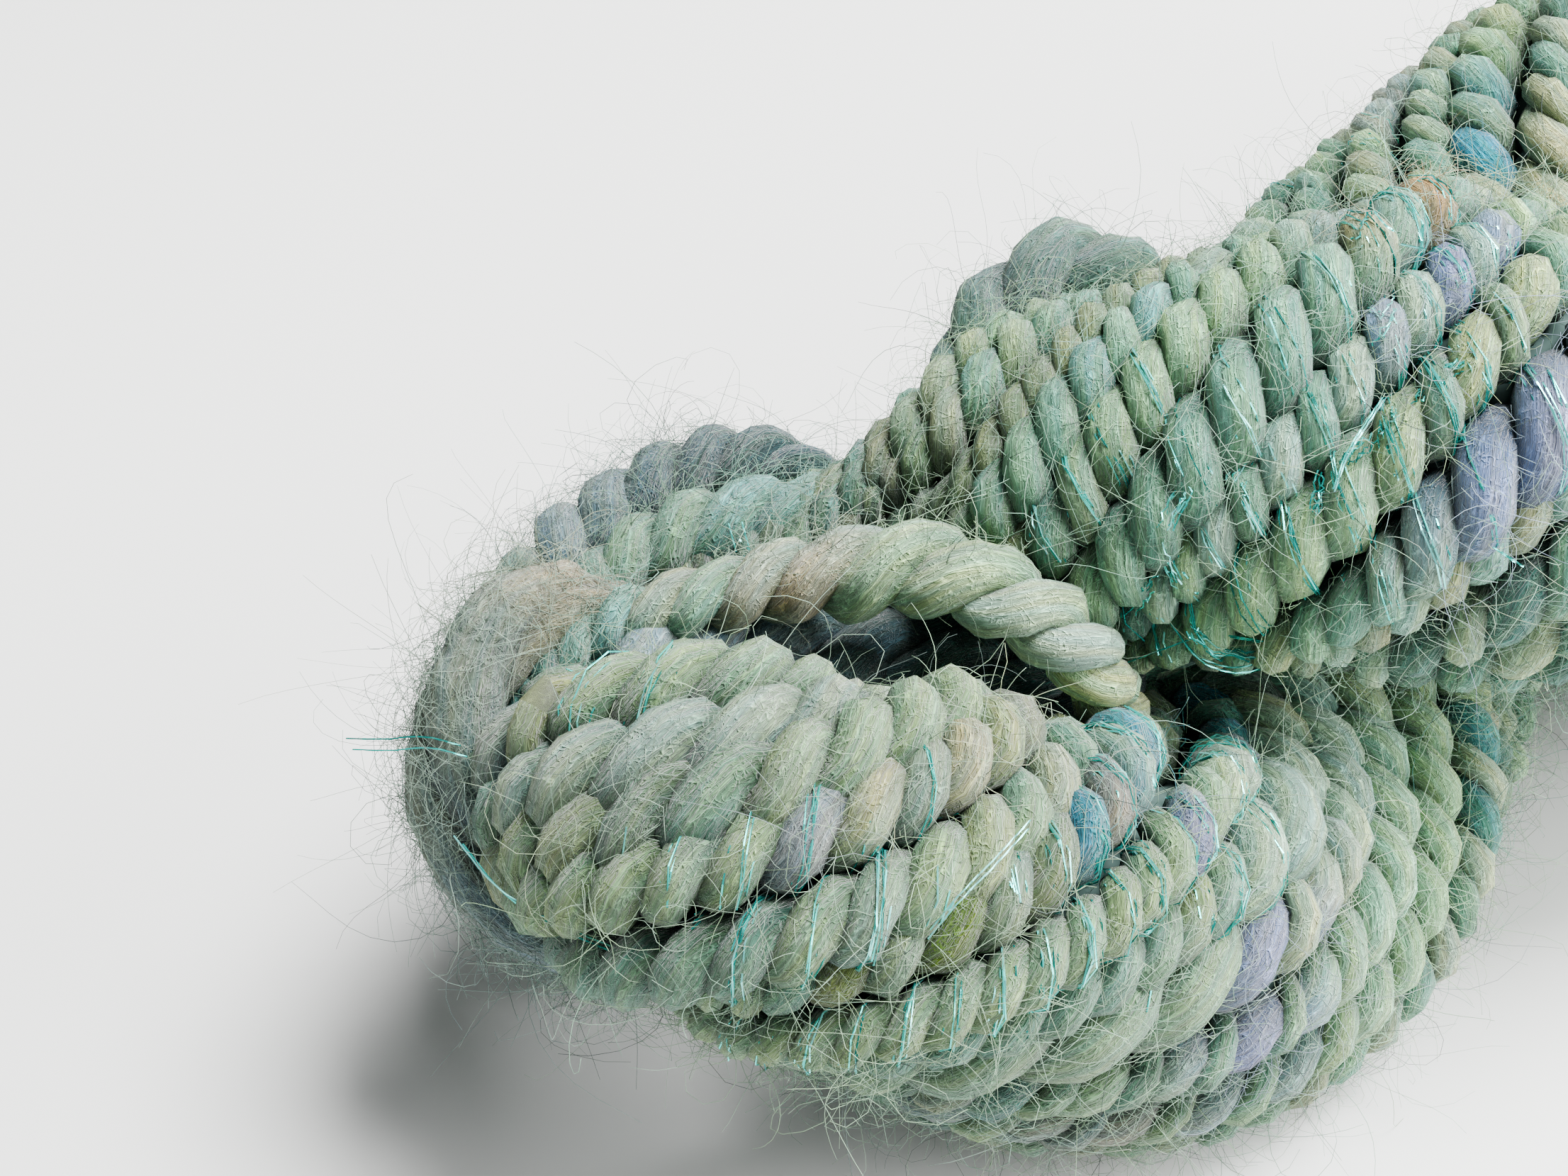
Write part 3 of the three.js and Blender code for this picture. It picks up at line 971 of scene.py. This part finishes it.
def makeCore(settings):
    sides = settings["sides"]
    angle = 2 * np.pi * np.arange(sides) / sides
    gatherShare = yarnWay["gatherShare"] * settings["gatherShare"]
    bm = bmesh.new()
    rows = []
    for i in range(0, hankForm["lineSteps"], settings["step"]):
        outward = np.cos(angle)[:, None] * ring["across"][i] + np.sin(angle)[:, None] * ring["up"][i]
        along = np.full(sides, ring["along"][i])
        side = np.full(sides, ring["side"][i])
        middle = np.repeat(ring["point"][i][None], sides, 0)
        gathered = gatheredAt(ring["reached"][i])
        smaller = 1 - gathered * (1 - gatherShare)
        radius = (limbRadius(along, side, middle, outward) - settings["depth"]) * smaller
        middle = middle + gathered * np.array(yarnWay["gatherShift"])
        points = onOwnSide(middle + outward * radius[:, None], side, settings["slitMargin"])
        points[:, 2] = np.maximum(points[:, 2], settings["floorHeight"])
        row = bmesh.ops.create_circle(bm, segments=sides, radius=mm)["verts"]
        for vertex, point in zip(row, toPart(points)):
            vertex.co = point * mm
        rows.append(list({edge for vertex in row for edge in vertex.link_edges}))
    for row, nextRow in zip(rows, rows[1:] + rows[:1]):
        bmesh.ops.bridge_loops(bm, edges=row + nextRow)
    bmesh.ops.recalc_face_normals(bm, faces=bm.faces)
    mesh = bpy.data.meshes.new("woundCore")
    bm.to_mesh(mesh)
    bm.free()
    mesh.shade_smooth()
    return addObject("woundCore", mesh)


core = makeCore(coreForm)
print("core", len(core.data.polygons), "faces")

# Loose fibres, with lengths and heights in mm, lifts and swings in radians, and curls in radians a mm.
# Own is how much of the ply's colour a fibre has, and nearShare how many of them grow at the open end.
fibreForms = {
    "surfaceFibres": {
        "seed": 41, "count": 4600, "points": 7, "pieces": 1, "length": (5, 12), "lift": (-0.05, 0.3),
        "swing": 0.7, "curl": 0.36, "droop": 0.1, "height": (0.1, 0.9), "pull": 0.1, "radius": 0.026,
        "colour": (150, 176, 156), "own": 0.55, "darkShare": 0.1, "nearShare": 0.9,
    },
    "shortFibres": {
        "seed": 43, "count": 9000, "points": 4, "pieces": 1, "length": (1.5, 4.2), "lift": (0.1, 1.1),
        "swing": 1.1, "curl": 0.6, "droop": 0.15, "height": (0.1, 0.6), "pull": 0, "radius": 0.024,
        "colour": (142, 166, 146), "own": 0.6, "darkShare": 0.06, "nearShare": 0.92,
    },
    "haloFibres": {
        "seed": 42, "count": 4600, "points": 9, "pieces": 2, "length": (6, 18), "lift": (0.1, 1.1),
        "swing": 1.0, "curl": 0.34, "droop": 0.06, "height": (0.1, 0.3), "pull": 0, "radius": 0.026,
        "colour": (126, 148, 132), "own": 0.5, "darkShare": 0.1, "nearShare": 0.86,
    },
}

# what every kind of fibre shares, with the ranges of its random shares
fibreForm = {
    "rootDepth": 0.93,  # of a root, as a share of the ply's radius
    "lengths": (0.6, 1),
    "axisNoise": 0.6,
    "curls": (0.35, 1.7),
    "tipCurls": (-0.6, 2.2),
    "slack": 1.5,  # mm over its height that a fibre may stand before it is pulled back
    "tipWidth": 0.55,
    "widths": (0.7, 1.25),
    "owns": (0.4, 1.3),
    "tones": (0.6, 1.15),
    "dark": (58, 70, 66),
    "darkTones": (0.6, 1.4),
    "reach": 9.0,  # mm that fibres may stand out of the CAD solid's box
    "floorHeight": 0.1,
}

# Where fibres grow. Cap, raised and inside say how many the cap turn, the other raised turns and those in
# the eye have for their length, where a wound turn in the open has 1.
rootForm = {
    "nearUntil": -25,  # along the part
    "nearFade": 40,
    "openSide": (-0.55, -0.53, 0.64),  # the side that was never pressed flat
    "facingFrom": -0.35,
    "away": 0.3,  # how many fibres the other sides have for their length
    "tries": 3,
    "around": 1.6,
    "rayStart": 0.5,
    "rayLean": 0.5,
    "sight": 7.0,  # mm of free space that a fibre needs over its root
    "cap": 6,
    "raised": 3.5,
    "inside": 0.15,
    "endFade": 8,
    "hiddenSide": 4.2,  # half the width and height of the hank's middle, where its turns are hidden
    "hiddenLift": 9,
    "floorHeight": 2.0,
    "gathered": 0.7,
}

# Fibres stay sparse and fine in the eye and in front of it, and darker there as painted shade. Each line has
# its two ends and how near to it counts as crossing, for fibres of the raised turns and of the wound ones.
eyeForm = {
    "lines": [((-104, 22, 37.5), (-84, -3, 34), 4.2, 6.5), ((-104, 13, 40.5), (-88, -2, 40), 4.2, 5.5)],
    "kept": 0.14,  # share of the crossing fibres that stay
    "width": 0.6,
    # painted shade on the crossing fibres
    "tone": 0.45,
}


def openShare(run, settings):
    # how many fibres a stretch of yarn has for its length: none inside the hank, 1 on its wound turns
    line = run["line"]
    if not run["closed"]:
        ends = np.minimum(line["place"], line["total"] - line["place"])
        kind = "inside" if run["turn"] in insideTurns else "cap" if run["turn"] == "capTurn" else "raised"
        return np.clip(ends / settings["endFade"], 0, 1) * settings[kind]
    local = line["centre"] - np.array([*hankForm["start"], 0])
    side, lift = np.abs(sideAndLift(local))
    hidden = (side < settings["hiddenSide"]) & (lift < settings["hiddenLift"])
    shown = np.where(hidden | (local[:, 2] < settings["floorHeight"]), 0, 1)
    return shown * (1 - settings["gathered"] * line["gathered"])


def fibreSources():
    # every stretch of ply that fibres may grow from
    source = {name: np.concatenate([run[name] for run in runs]) for name in ("points", "radius", "colours")}
    for name in ("out", "ahead", "step"):
        source[name] = np.concatenate([run["line"][name] for run in runs])
    source["open"] = np.concatenate([openShare(run, rootForm) for run in runs])
    source["closed"] = np.concatenate([np.full(len(run["radius"]), run["closed"]) for run in runs])
    corners, faces = [], []
    for piece in yarnPieces:
        faces += [[len(corners) + v for v in polygon.vertices] for polygon in piece.data.polygons]
        corners += [vertex.co for vertex in piece.data.vertices]
    source["surface"] = bvhtree.BVHTree.FromPolygons(corners, faces)
    tree = kdtree.KDTree(len(source["radius"]))
    for i, point in enumerate(source["points"]):
        tree.insert(point, i)
    tree.balance()
    source["tree"] = tree
    return source


source = fibreSources()


def pickRoots(rng, kind, settings):
    # stretches of ply to grow from, each with a direction round the ply that looks out into the open
    x = source["points"][:, 0]
    near = 1 - np.clip((x - settings["nearUntil"]) / settings["nearFade"] + 0.5, 0, 1)
    openSide = unit(np.array(settings["openSide"]))
    facing = np.where(dot(source["out"], openSide) > settings["facingFrom"], 1, settings["away"])
    weights = []
    for part in (near, 1 - near):
        weight = part * source["open"] * source["step"] * facing
        weights.append(weight / weight.sum())
    weight = kind["nearShare"] * weights[0] + (1 - kind["nearShare"]) * weights[1]
    tried = rng.choice(len(x), settings["tries"] * kind["count"], p=weight / weight.sum())
    out, ahead = source["out"][tried], source["ahead"][tried]
    around = rng.uniform(-settings["around"], settings["around"], len(tried))[:, None]
    away = out * np.cos(around) + np.cross(ahead, out) * np.sin(around)
    height = source["radius"][tried] + settings["rayStart"]
    starts = (source["points"][tried] + away * height[:, None]) * mm
    ways = unit(away + settings["rayLean"] * out)
    surface, sight = source["surface"], settings["sight"] * mm
    free = [
        surface.ray_cast(Vector(start), Vector(way), sight)[0] is None
        for start, way in zip(starts, ways)
    ]
    kept = np.flatnonzero(free)[:kind["count"]]
    return tried[kept], away[kept]


def keepInBox(points):
    low = np.array(cadBox[0]) / mm - fibreForm["reach"]
    high = np.array(cadBox[1]) / mm + fibreForm["reach"]
    low[2] = fibreForm["floorHeight"]
    return np.clip(points, low, high)


def offSurface(points, height, pull):
    # points moved to at least height off the nearest ply, and some way back from well over that
    found = np.array([source["tree"].find(point)[1] for point in points])
    arm = points - source["points"][found]
    away = unit(arm)
    gap = np.linalg.norm(arm, axis=1) - source["radius"][found]
    slack = fibreForm["slack"]
    pulled = np.where(gap > height + slack, gap - pull * (gap - height - slack), gap)
    wanted = np.where(gap < height, height, pulled)
    return points + away * (wanted - gap)[:, None], away


def fibrePaths(rng, kind, settings, root, away):
    # fibres that start in a ply, leave it at an angle and curl along over its neighbours
    count, steps = len(root), kind["points"]
    ahead = source["ahead"][root]
    place = source["points"][root] + away * (source["radius"][root] * settings["rootDepth"])[:, None]
    along = ahead * rng.choice((-1, 1), count)[:, None]
    swing = rng.normal(0, kind["swing"], count)[:, None]
    flat = along * np.cos(swing) + np.cross(away, along) * np.sin(swing)
    lift = rng.uniform(*kind["lift"], count)[:, None]
    heading = flat * np.cos(lift) + away * np.sin(lift)
    length = rng.uniform(*kind["length"], count) * rng.uniform(*settings["lengths"], count)
    step = (length / (steps - 1))[:, None]
    axis = unit(away + rng.normal(0, settings["axisNoise"], (count, 3)))
    curl = kind["curl"] * rng.uniform(*settings["curls"], (count, 1)) * rng.choice((-1, 1), (count, 1))
    curlAtTip = curl * rng.uniform(*settings["tipCurls"], (count, 1))
    height = rng.uniform(*kind["height"], count)
    path = [place]
    for k in range(steps - 1):
        turn = (curl + (curlAtTip - curl) * k / (steps - 2)) * step
        heading = heading * np.cos(turn) + np.cross(axis, heading) * np.sin(turn)
        heading = unit(heading - away * kind["droop"] * step)
        least = height * (0.5 + 0.5 * k / (steps - 2))
        point, away = offSurface(path[-1] + heading * step, least, kind["pull"])
        heading = unit(point - path[-1])
        path.append(keepInBox(point))
    return np.stack(path, 1)


def crossesEye(path, root):
    across = np.zeros(len(root), bool)
    for start, end, proudReach, woundReach in eyeForm["lines"]:
        along = np.subtract(end, start)
        share = np.clip((path - start) @ along / (along @ along), 0, 1)[..., None]
        near = np.linalg.norm(path - start - share * along, axis=2).min(1)
        across |= near < np.where(source["closed"][root], woundReach, proudReach)
    return across


def growFibres(name, kind, settings):
    rng = np.random.default_rng(kind["seed"])
    root, away = pickRoots(rng, kind, rootForm)
    path = fibrePaths(rng, kind, settings, root, away)
    across = crossesEye(path, root)
    kept = ~across | (rng.uniform(0, 1, len(root)) < eyeForm["kept"])
    path, root, across, count = path[kept], root[kept], across[kept], kept.sum()
    taper = np.linspace(1, settings["tipWidth"], kind["points"])
    radii = kind["radius"] * rng.uniform(*settings["widths"], count)[:, None] * taper
    radii = radii * np.where(across, eyeForm["width"], 1)[:, None]
    own = kind["own"] * rng.uniform(*settings["owns"], count)[:, None]
    colour = linear(kind["colour"]) * (1 - own) + source["colours"][root] * own
    # crossing fibres darker: painted shade
    colour *= (rng.uniform(*settings["tones"], count) * np.where(across, eyeForm["tone"], 1))[:, None]
    dark = rng.uniform(0, 1, count) < kind["darkShare"]
    colour[dark] = linear(settings["dark"]) * rng.uniform(*settings["darkTones"], dark.sum())[:, None]
    return [
        makeFibres(name + str(i + 1), path[part], radii[part], colour[part])
        for i, part in enumerate(np.array_split(np.arange(count), kind["pieces"]))
    ]


def makeFibres(name, path, radii, colour):
    mesh = curveMesh(name, list(zip(path, radii)), 3)
    setColours(mesh, np.repeat(np.clip(colour, 0, 1), len(mesh.vertices) // len(path), 0))
    print(name, len(path), "fibres,", len(mesh.polygons), "faces")
    return addObject(name, mesh)


fibrePieces = [piece for name, kind in fibreForms.items() for piece in growFibres(name, kind, fibreForm)]

# Metallic filaments: laid in with the plies on some stretches, given as strand, from and to round the
# ring, and loose where they have pulled out, as points in mm in the part's frame. Glints are short
# bundles of them on the plies.
glitterForm = {
    "seed": 61,
    "radius": 0.06,
    "perPly": 8,
    "scattered": 60,
    "scatteredPerPly": 3,
    "scatteredLength": 7,  # in points of the yarn's line
    "scatteredShares": (0.5, 1.2),
    "scatteredClear": 20,  # likewise, at the end of that line
    "around": 1.7,
    "aroundNoise": 0.12,
    "lift": 0.03,  # over the ply, and how far a filament rises and dips from there
    "liftWave": 0.13,
    "liftPhases": 6,
    "liftSteps": (0.3, 1.3),
    "tilt": 0.7,
    "looseSteps": 4,  # for each point given
    "looseApart": 0.5,
    "stretches": [
        (6, 11, 31), (6, 33, 44), (5, 19, 31), (4, 9, 16), (3, 7, 13), (0, 0, 5), (12, 84, 95),
        (10, 76, 86), (0, 503, 527), (1, 505, 522), (12, 505, 524), (11, 500, 512), (3, 98, 106),
        (2, 521, 531), (7, 30, 40), (8, 62, 70),
    ],
    "loose": [
        ((-97, 24.1, 40.8), (-98.1, 22.3, 40)),
        ((-65.3, -1.7, 62.2), (-65.6, -2.8, 61.8), (-65.4, -3.4, 61.5)),
        ((-65.9, -4.2, 61.1), (-65.8, -5.9, 61.4)),
        ((-73.6, -18.8, 48.7), (-73.1, -20.2, 48)),
        ((-114.2, -8, 37.7), (-112.4, -8.5, 39.6), (-109.5, -8.6, 40.4), (-105.8, -8.3, 40.7)),
        ((-84.4, 0, 34.8), (-83.7, -2.1, 36.8), (-82, -4.1, 38.1), (-79.9, -6.6, 37.9), (-77, -9.4, 36.5)),
        ((-83.2, -2.1, 38.8), (-83, -4.5, 37), (-81.1, -6.2, 35.6), (-78.3, -7.7, 35.3)),
        ((-126.9, 29.9, 37.1), (-125.5, 27.9, 37.4), (-123.8, 25.7, 37.9), (-122.5, 23.8, 37.5)),
        ((-79.8, -10, 52.3), (-78.2, -9.6, 53.9), (-76.2, -9.4, 55), (-74.3, -9.3, 56)),
        ((-125.4, 21.6, 33.1), (-126.2, 16.6, 32.9), (-125.6, 12, 32.8), (-124.7, 7.8, 33.1)),
    ],
    "glints": [
        ((-85, -1.9, 47.8), (-84.4, -2, 49.2), (-83.2, -1.8, 49.8)),
        ((-84.8, -1.7, 46.1), (-84.1, -2.1, 44.1), (-83.8, -3, 42.7)),
        ((-78.7, -3.5, 51.4), (-79.5, -3.8, 50.6), (-81.1, -4.2, 50)),
        ((-77.2, -7.9, 50.7), (-78.3, -8.4, 50.1), (-79.1, -8.8, 49.3)),
        ((-75.7, -9.6, 53.5), (-76.6, -9.5, 53), (-77.1, -9.2, 52.4)),
        ((-74, -10.2, 55.1), (-73.7, -9.6, 53.8), (-74.6, -9.7, 53.6)),
        ((-71.2, -11.2, 56.9), (-71.1, -10.6, 55.9), (-72.4, -10.7, 55.8)),
        ((-68.2, -11.8, 57.3), (-69.4, -11.7, 57.5), (-70.2, -11.5, 57.4)),
        ((-64, -1.4, 60.9), (-65.5, -1.6, 61.3), (-67.1, -2, 61.5)),
        ((-83.3, -4, 39.5), (-82.8, -4.6, 38.8), (-80.9, -5.2, 37), (-79.8, -6.8, 36.7)),
        ((-68.8, -6.3, 58.2), (-70.2, -6.8, 58.2), (-71.6, -7, 57.9)),
        ((-84.5, 0, 39.6), (-85, -0.8, 41.6), (-85, -1.4, 43)),
    ],
    "glintThreads": 6,
    "glintSteps": 3,
    "glintApart": 0.35,
    "glintNoise": 0.1,
    "colours": [(18, 176, 168), (50, 206, 196), (8, 128, 120), (120, 226, 220)],
}


def laidFilaments(rng, settings):
    # filaments that follow a ply's surface: chosen stretches first, then short ones anywhere
    shown = [
        np.flatnonzero((yarn["index"] == strand) & (yarn["reached"] > start) & (yarn["reached"] < end))
        for strand, start, end in settings["stretches"]
    ]
    perPly = [settings["perPly"]] * len(shown) + [settings["scatteredPerPly"]] * settings["scattered"]
    for _ in range(settings["scattered"]):
        start = rng.integers(0, len(yarn["place"]) - settings["scatteredClear"])
        share = rng.uniform(*settings["scatteredShares"])
        shown.append(start + np.arange(int(share * settings["scatteredLength"])))
    paths = []
    for picked, filaments in zip(shown, perPly):
        for run in runs[:2]:
            for _ in range(filaments):
                angle = rng.uniform(-settings["around"], settings["around"])
                angle = angle + np.cumsum(rng.normal(0, settings["aroundNoise"], len(picked)))
                arm = run["arm"][picked]
                side = np.cross(run["line"]["ahead"][picked], arm)
                away = arm * np.cos(angle)[:, None] + side * np.sin(angle)[:, None]
                phase = rng.uniform(0, settings["liftPhases"])
                wave = np.sin(phase + np.cumsum(rng.uniform(*settings["liftSteps"], len(picked))))
                lift = settings["lift"] + settings["liftWave"] * wave
                paths.append(run["points"][picked] + away * (run["radius"][picked] + lift)[:, None])
    return paths


def makeGlitter(settings):
    rng = np.random.default_rng(settings["seed"])
    paths = laidFilaments(rng, settings)
    for points in settings["loose"]:
        path = smoothThrough(points, settings["looseSteps"] * len(points))
        paths += [path, path + rng.normal(0, settings["looseApart"], 3)]
    for points in settings["glints"]:
        for _ in range(settings["glintThreads"]):
            path = smoothThrough(points, settings["glintSteps"] * len(points))
            apart = rng.normal(0, settings["glintApart"], 3)
            paths.append(path + apart + rng.normal(0, settings["glintNoise"], path.shape))
    counts = [len(path) for path in paths]
    tilts = rng.uniform(-settings["tilt"], settings["tilt"], max(counts))
    tubes = [(path, np.full(len(path), settings["radius"])) for path in paths]
    mesh = curveMesh("glitterThreads", tubes, 3, tilts=tilts)
    tones = np.array([linear(colour) for colour in settings["colours"]])
    picked = rng.integers(0, len(tones), len(paths))
    setColours(mesh, np.repeat(tones[picked], 3 * np.array(counts), 0))
    mesh.shade_flat()
    print("glitter", len(paths), "filaments,", len(mesh.polygons), "faces")
    return addObject("glitterThreads", mesh)


glitter = makeGlitter(glitterForm)

# floor, with its half width in metres
floorForm = {"halfWidth": 3, "colour": (220, 221, 219)}


def makeFloor(settings):
    mesh = bpy.data.meshes.new("floor")
    bm = bmesh.new()
    bmesh.ops.create_grid(bm, x_segments=1, y_segments=1, size=settings["halfWidth"])
    bm.to_mesh(mesh)
    bm.free()
    return addObject("floor", mesh)


floor = makeFloor(floorForm)

# Fine fibres drawn on a ply's surface. Scale is per metre, and line is half a fibre's width in units of
# the noise that it follows. Layers that follow the ply have scales across it, across it and along it.
layerFields = ("scale", "tip", "offset", "line", "follows")
fleeceLayers = [dict(zip(layerFields, row)) for row in (
    ((1500, 1500, 210), (0.1, 0, 0), (0, 0, 0), 0.022, True),
    ((1300, 1300, 240), (-0.16, 0.12, 0), (3.1, 7.7, 1.9), 0.02, True),
    ((1000, 1000, 330), (0, -0.3, 0.2), (5.3, 2.2, 8.4), 0.016, True),
    ((850, 850, 850), (0.4, 0.2, 0), (9.6, 4.8, 0.7), 0.028, False),
    ((1150, 1150, 1150), (0.1, 0.9, 0.5), (2.9, 0.8, 6.7), 0.03, False),
    ((620, 900, 700), (0.8, 0.3, 0.1), (7.1, 3.8, 2.7), 0.024, False),
)]
fleeceLook = {
    "line": {"Scale": 1, "Detail": 1, "Roughness": 0.45, "Distortion": 0.8},
    "gaps": {"Scale": 0.9, "Detail": 0},
    "gapRange": {"From Min": 0.44, "From Max": 0.54},
    "stretch": (1000, 1000, 130),
    "streaks": {"Scale": 5.5, "Detail": 3, "Roughness": 0.7},
    "tone": {"From Min": 0.3, "From Max": 0.7, "To Min": 0.42, "To Max": 1.36},
    "hues": {"Scale": 1.3, "Detail": 1},
    "hueRange": {"From Min": 0.36, "From Max": 0.64},
    "warm": (1.16, 1.03, 0.84, 1),
    "cool": (0.84, 0.97, 1.08, 1),
    "paler": {"To Min": 0.88, "To Max": 1.75},
    "lineHeight": 0.35,
    "bump": {"Strength": 1, "Distance": 0.0005},
}

# values of each material's shader
finishes = {
    "fleece": {"Roughness": 0.9, "Specular IOR Level": 0.2, "Sheen Weight": 0.3, "Sheen Roughness": 0.4},
    "looseFibre": {"Roughness": 0.6, "Specular IOR Level": 0.2},
    "glitterThread": {"Roughness": 0.22, "Specular IOR Level": 0.5, "Metallic": 0.65},
    "shadedInnerTurns": {"Roughness": 0.9, "Specular IOR Level": 0.2},
    "floor": {"Roughness": 0.9, "Specular IOR Level": 0.2},
}


def addNode(tree, kind, inputs, output=0, **settings):
    # a new node's output; its inputs are values or other nodes' outputs
    node = tree.nodes.new(kind)
    for name, value in settings.items():
        setattr(node, name, value)
    for name, value in inputs.items():
        if isinstance(value, bpy.types.NodeSocket):
            tree.links.new(value, node.inputs[name])
        else:
            node.inputs[name].default_value = value
    return node.outputs[output]


def fibreLines(group, space, layer):
    # 1 on the fibres of one layer and 0 between them, in broken lines where they don't follow the ply
    place = addNode(group, "ShaderNodeMapping", {
        "Vector": space, "Scale": layer["scale"], "Location": layer["offset"], "Rotation": layer["tip"],
    })
    noise = addNode(group, "ShaderNodeTexNoise", {"Vector": place, **fleeceLook["line"]})
    offMiddle = addNode(group, "ShaderNodeMath", {0: noise, 1: 0.5}, operation="SUBTRACT")
    distance = addNode(group, "ShaderNodeMath", {0: offMiddle}, operation="ABSOLUTE")
    line = addNode(
        group, "ShaderNodeMapRange",
        {"Value": distance, "From Min": 0, "From Max": layer["line"], "To Min": 1, "To Max": 0},
        interpolation_type="SMOOTHSTEP",
    )
    if layer["follows"]:
        return line
    gaps = addNode(group, "ShaderNodeTexNoise", {"Vector": place, **fleeceLook["gaps"]}, "Color")
    shown = addNode(group, "ShaderNodeMapRange", {"Value": gaps, **fleeceLook["gapRange"]})
    return addNode(group, "ShaderNodeMath", {0: line, 1: shown}, operation="MULTIPLY")


def fleeceGroup():
    # colour and height of a ply's surface from its own colour, its fibres' directions and its place
    group = bpy.data.node_groups.new("fleeceSurface", "ShaderNodeTree")
    for name, kind, way in (
        ("Colour", "NodeSocketColor", "INPUT"), ("Fibre Space", "NodeSocketVector", "INPUT"),
        ("Place", "NodeSocketVector", "INPUT"), ("Colour", "NodeSocketColor", "OUTPUT"),
        ("Height", "NodeSocketFloat", "OUTPUT"),
    ):
        group.interface.new_socket(name, in_out=way, socket_type=kind)
    given = group.nodes.new("NodeGroupInput").outputs
    result = group.nodes.new("NodeGroupOutput").inputs
    lines, *others = [
        fibreLines(group, given["Fibre Space" if layer["follows"] else "Place"], layer)
        for layer in fleeceLayers
    ]
    for other in others:
        lines = addNode(group, "ShaderNodeMath", {0: lines, 1: other}, operation="MAXIMUM")
    stretch = {"Vector": given["Fibre Space"], "Scale": fleeceLook["stretch"]}
    stretched = addNode(group, "ShaderNodeMapping", stretch)
    streaks = addNode(group, "ShaderNodeTexNoise", {"Vector": stretched, **fleeceLook["streaks"]})
    hues = addNode(group, "ShaderNodeTexNoise", {"Vector": stretched, **fleeceLook["hues"]})
    hueShare = addNode(group, "ShaderNodeMapRange", {"Value": hues, **fleeceLook["hueRange"]})
    mixed = {0: hueShare, 6: fleeceLook["warm"], 7: fleeceLook["cool"]}  # the factor and two colours of a mix
    hue = addNode(group, "ShaderNodeMix", mixed, 2, data_type="RGBA")
    tinted = addNode(group, "ShaderNodeVectorMath", {0: given["Colour"], 1: hue}, operation="MULTIPLY")
    tone = addNode(group, "ShaderNodeMapRange", {"Value": streaks, **fleeceLook["tone"]})
    toned = addNode(group, "ShaderNodeVectorMath", {0: tinted, "Scale": tone}, operation="SCALE")
    paler = addNode(group, "ShaderNodeMapRange", {"Value": lines, **fleeceLook["paler"]})
    lit = addNode(group, "ShaderNodeVectorMath", {0: toned, "Scale": paler}, operation="SCALE")
    raised = {0: lines, 1: fleeceLook["lineHeight"], 2: streaks}
    height = addNode(group, "ShaderNodeMath", raised, operation="MULTIPLY_ADD")
    group.links.new(lit, result["Colour"])
    group.links.new(height, result["Height"])
    return group


def newMaterial(name):
    material = bpy.data.materials.new(name)
    material.use_nodes = True
    tree = material.node_tree
    shader = tree.nodes["Principled BSDF"]
    for socket, value in finishes[name].items():
        shader.inputs[socket].default_value = value
    return material, tree, shader


def ownColour(tree):
    # the colour that each vertex has, with painted shade and light on the plies and painted shade on fibres
    # in the eye
    return addNode(tree, "ShaderNodeAttribute", {}, "Color", attribute_name="colourAndPaintedShade")


def threadMaterial(name):
    material, tree, shader = newMaterial(name)
    tree.links.new(ownColour(tree), shader.inputs["Base Color"])
    return material


def plainMaterial(name, colour):
    material, _, shader = newMaterial(name)
    shader.inputs["Base Color"].default_value = (*linear(colour), 1)
    return material


def fleeceMaterial(name):
    material, tree, shader = newMaterial(name)
    surface = tree.nodes.new("ShaderNodeGroup")
    surface.node_tree = fleeceGroup()
    space = addNode(tree, "ShaderNodeAttribute", {}, "Vector", attribute_name="fibreSpace")
    tree.links.new(ownColour(tree), surface.inputs["Colour"])
    tree.links.new(space, surface.inputs["Fibre Space"])
    tree.links.new(addNode(tree, "ShaderNodeTexCoord", {}, "Object"), surface.inputs["Place"])
    bump = addNode(tree, "ShaderNodeBump", {"Height": surface.outputs["Height"], **fleeceLook["bump"]})
    tree.links.new(surface.outputs["Colour"], shader.inputs["Base Color"])
    tree.links.new(bump, shader.inputs["Normal"])
    return material


def finish(pieces, material):
    for piece in pieces:
        piece.data.materials.append(material)


finish(yarnPieces, fleeceMaterial("fleece"))
finish(fibrePieces, threadMaterial("looseFibre"))
finish([glitter], threadMaterial("glitterThread"))
finish([core], plainMaterial("shadedInnerTurns", coreForm["colour"]))
finish([floor], plainMaterial("floor", floorForm["colour"]))
print("materials", len(finishes))

# light, with places and sizes in metres
studio = {
    "world": (0.96, 0.98, 1, 1),
    "worldStrength": 0.2,
    "lights": {
        "key": {"place": (0.15, -0.15, 0.76), "target": (-0.08, 0.01, 0.02), "size": 0.36, "power": 33},
        "fill": {"place": (0.3, -0.52, 0.3), "target": (-0.05, 0, 0.03), "size": 0.6, "power": 18},
    },
}


def makeLight(name, place, target, size, power):
    data = bpy.data.lights.new(name, "AREA")
    data.size = size
    data.energy = power
    light = bpy.data.objects.new(name, data)
    light.location = Vector(place)
    light.rotation_euler = (Vector(target) - Vector(place)).to_track_quat("-Z", "Y").to_euler()
    bpy.context.collection.objects.link(light)


def lightStudio(settings):
    world = bpy.data.worlds.new("studio")
    world.use_nodes = True
    background = world.node_tree.nodes["Background"]
    background.inputs["Color"].default_value = settings["world"]
    background.inputs["Strength"].default_value = settings["worldStrength"]
    bpy.context.scene.world = world
    for name, light in settings["lights"].items():
        makeLight(name, **light)


lightStudio(studio)
print("lights", len(studio["lights"]))

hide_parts("hank")
for piece in [core, *yarnPieces, *fibrePieces]:
    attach(piece, "root")
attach(glitter, "root")
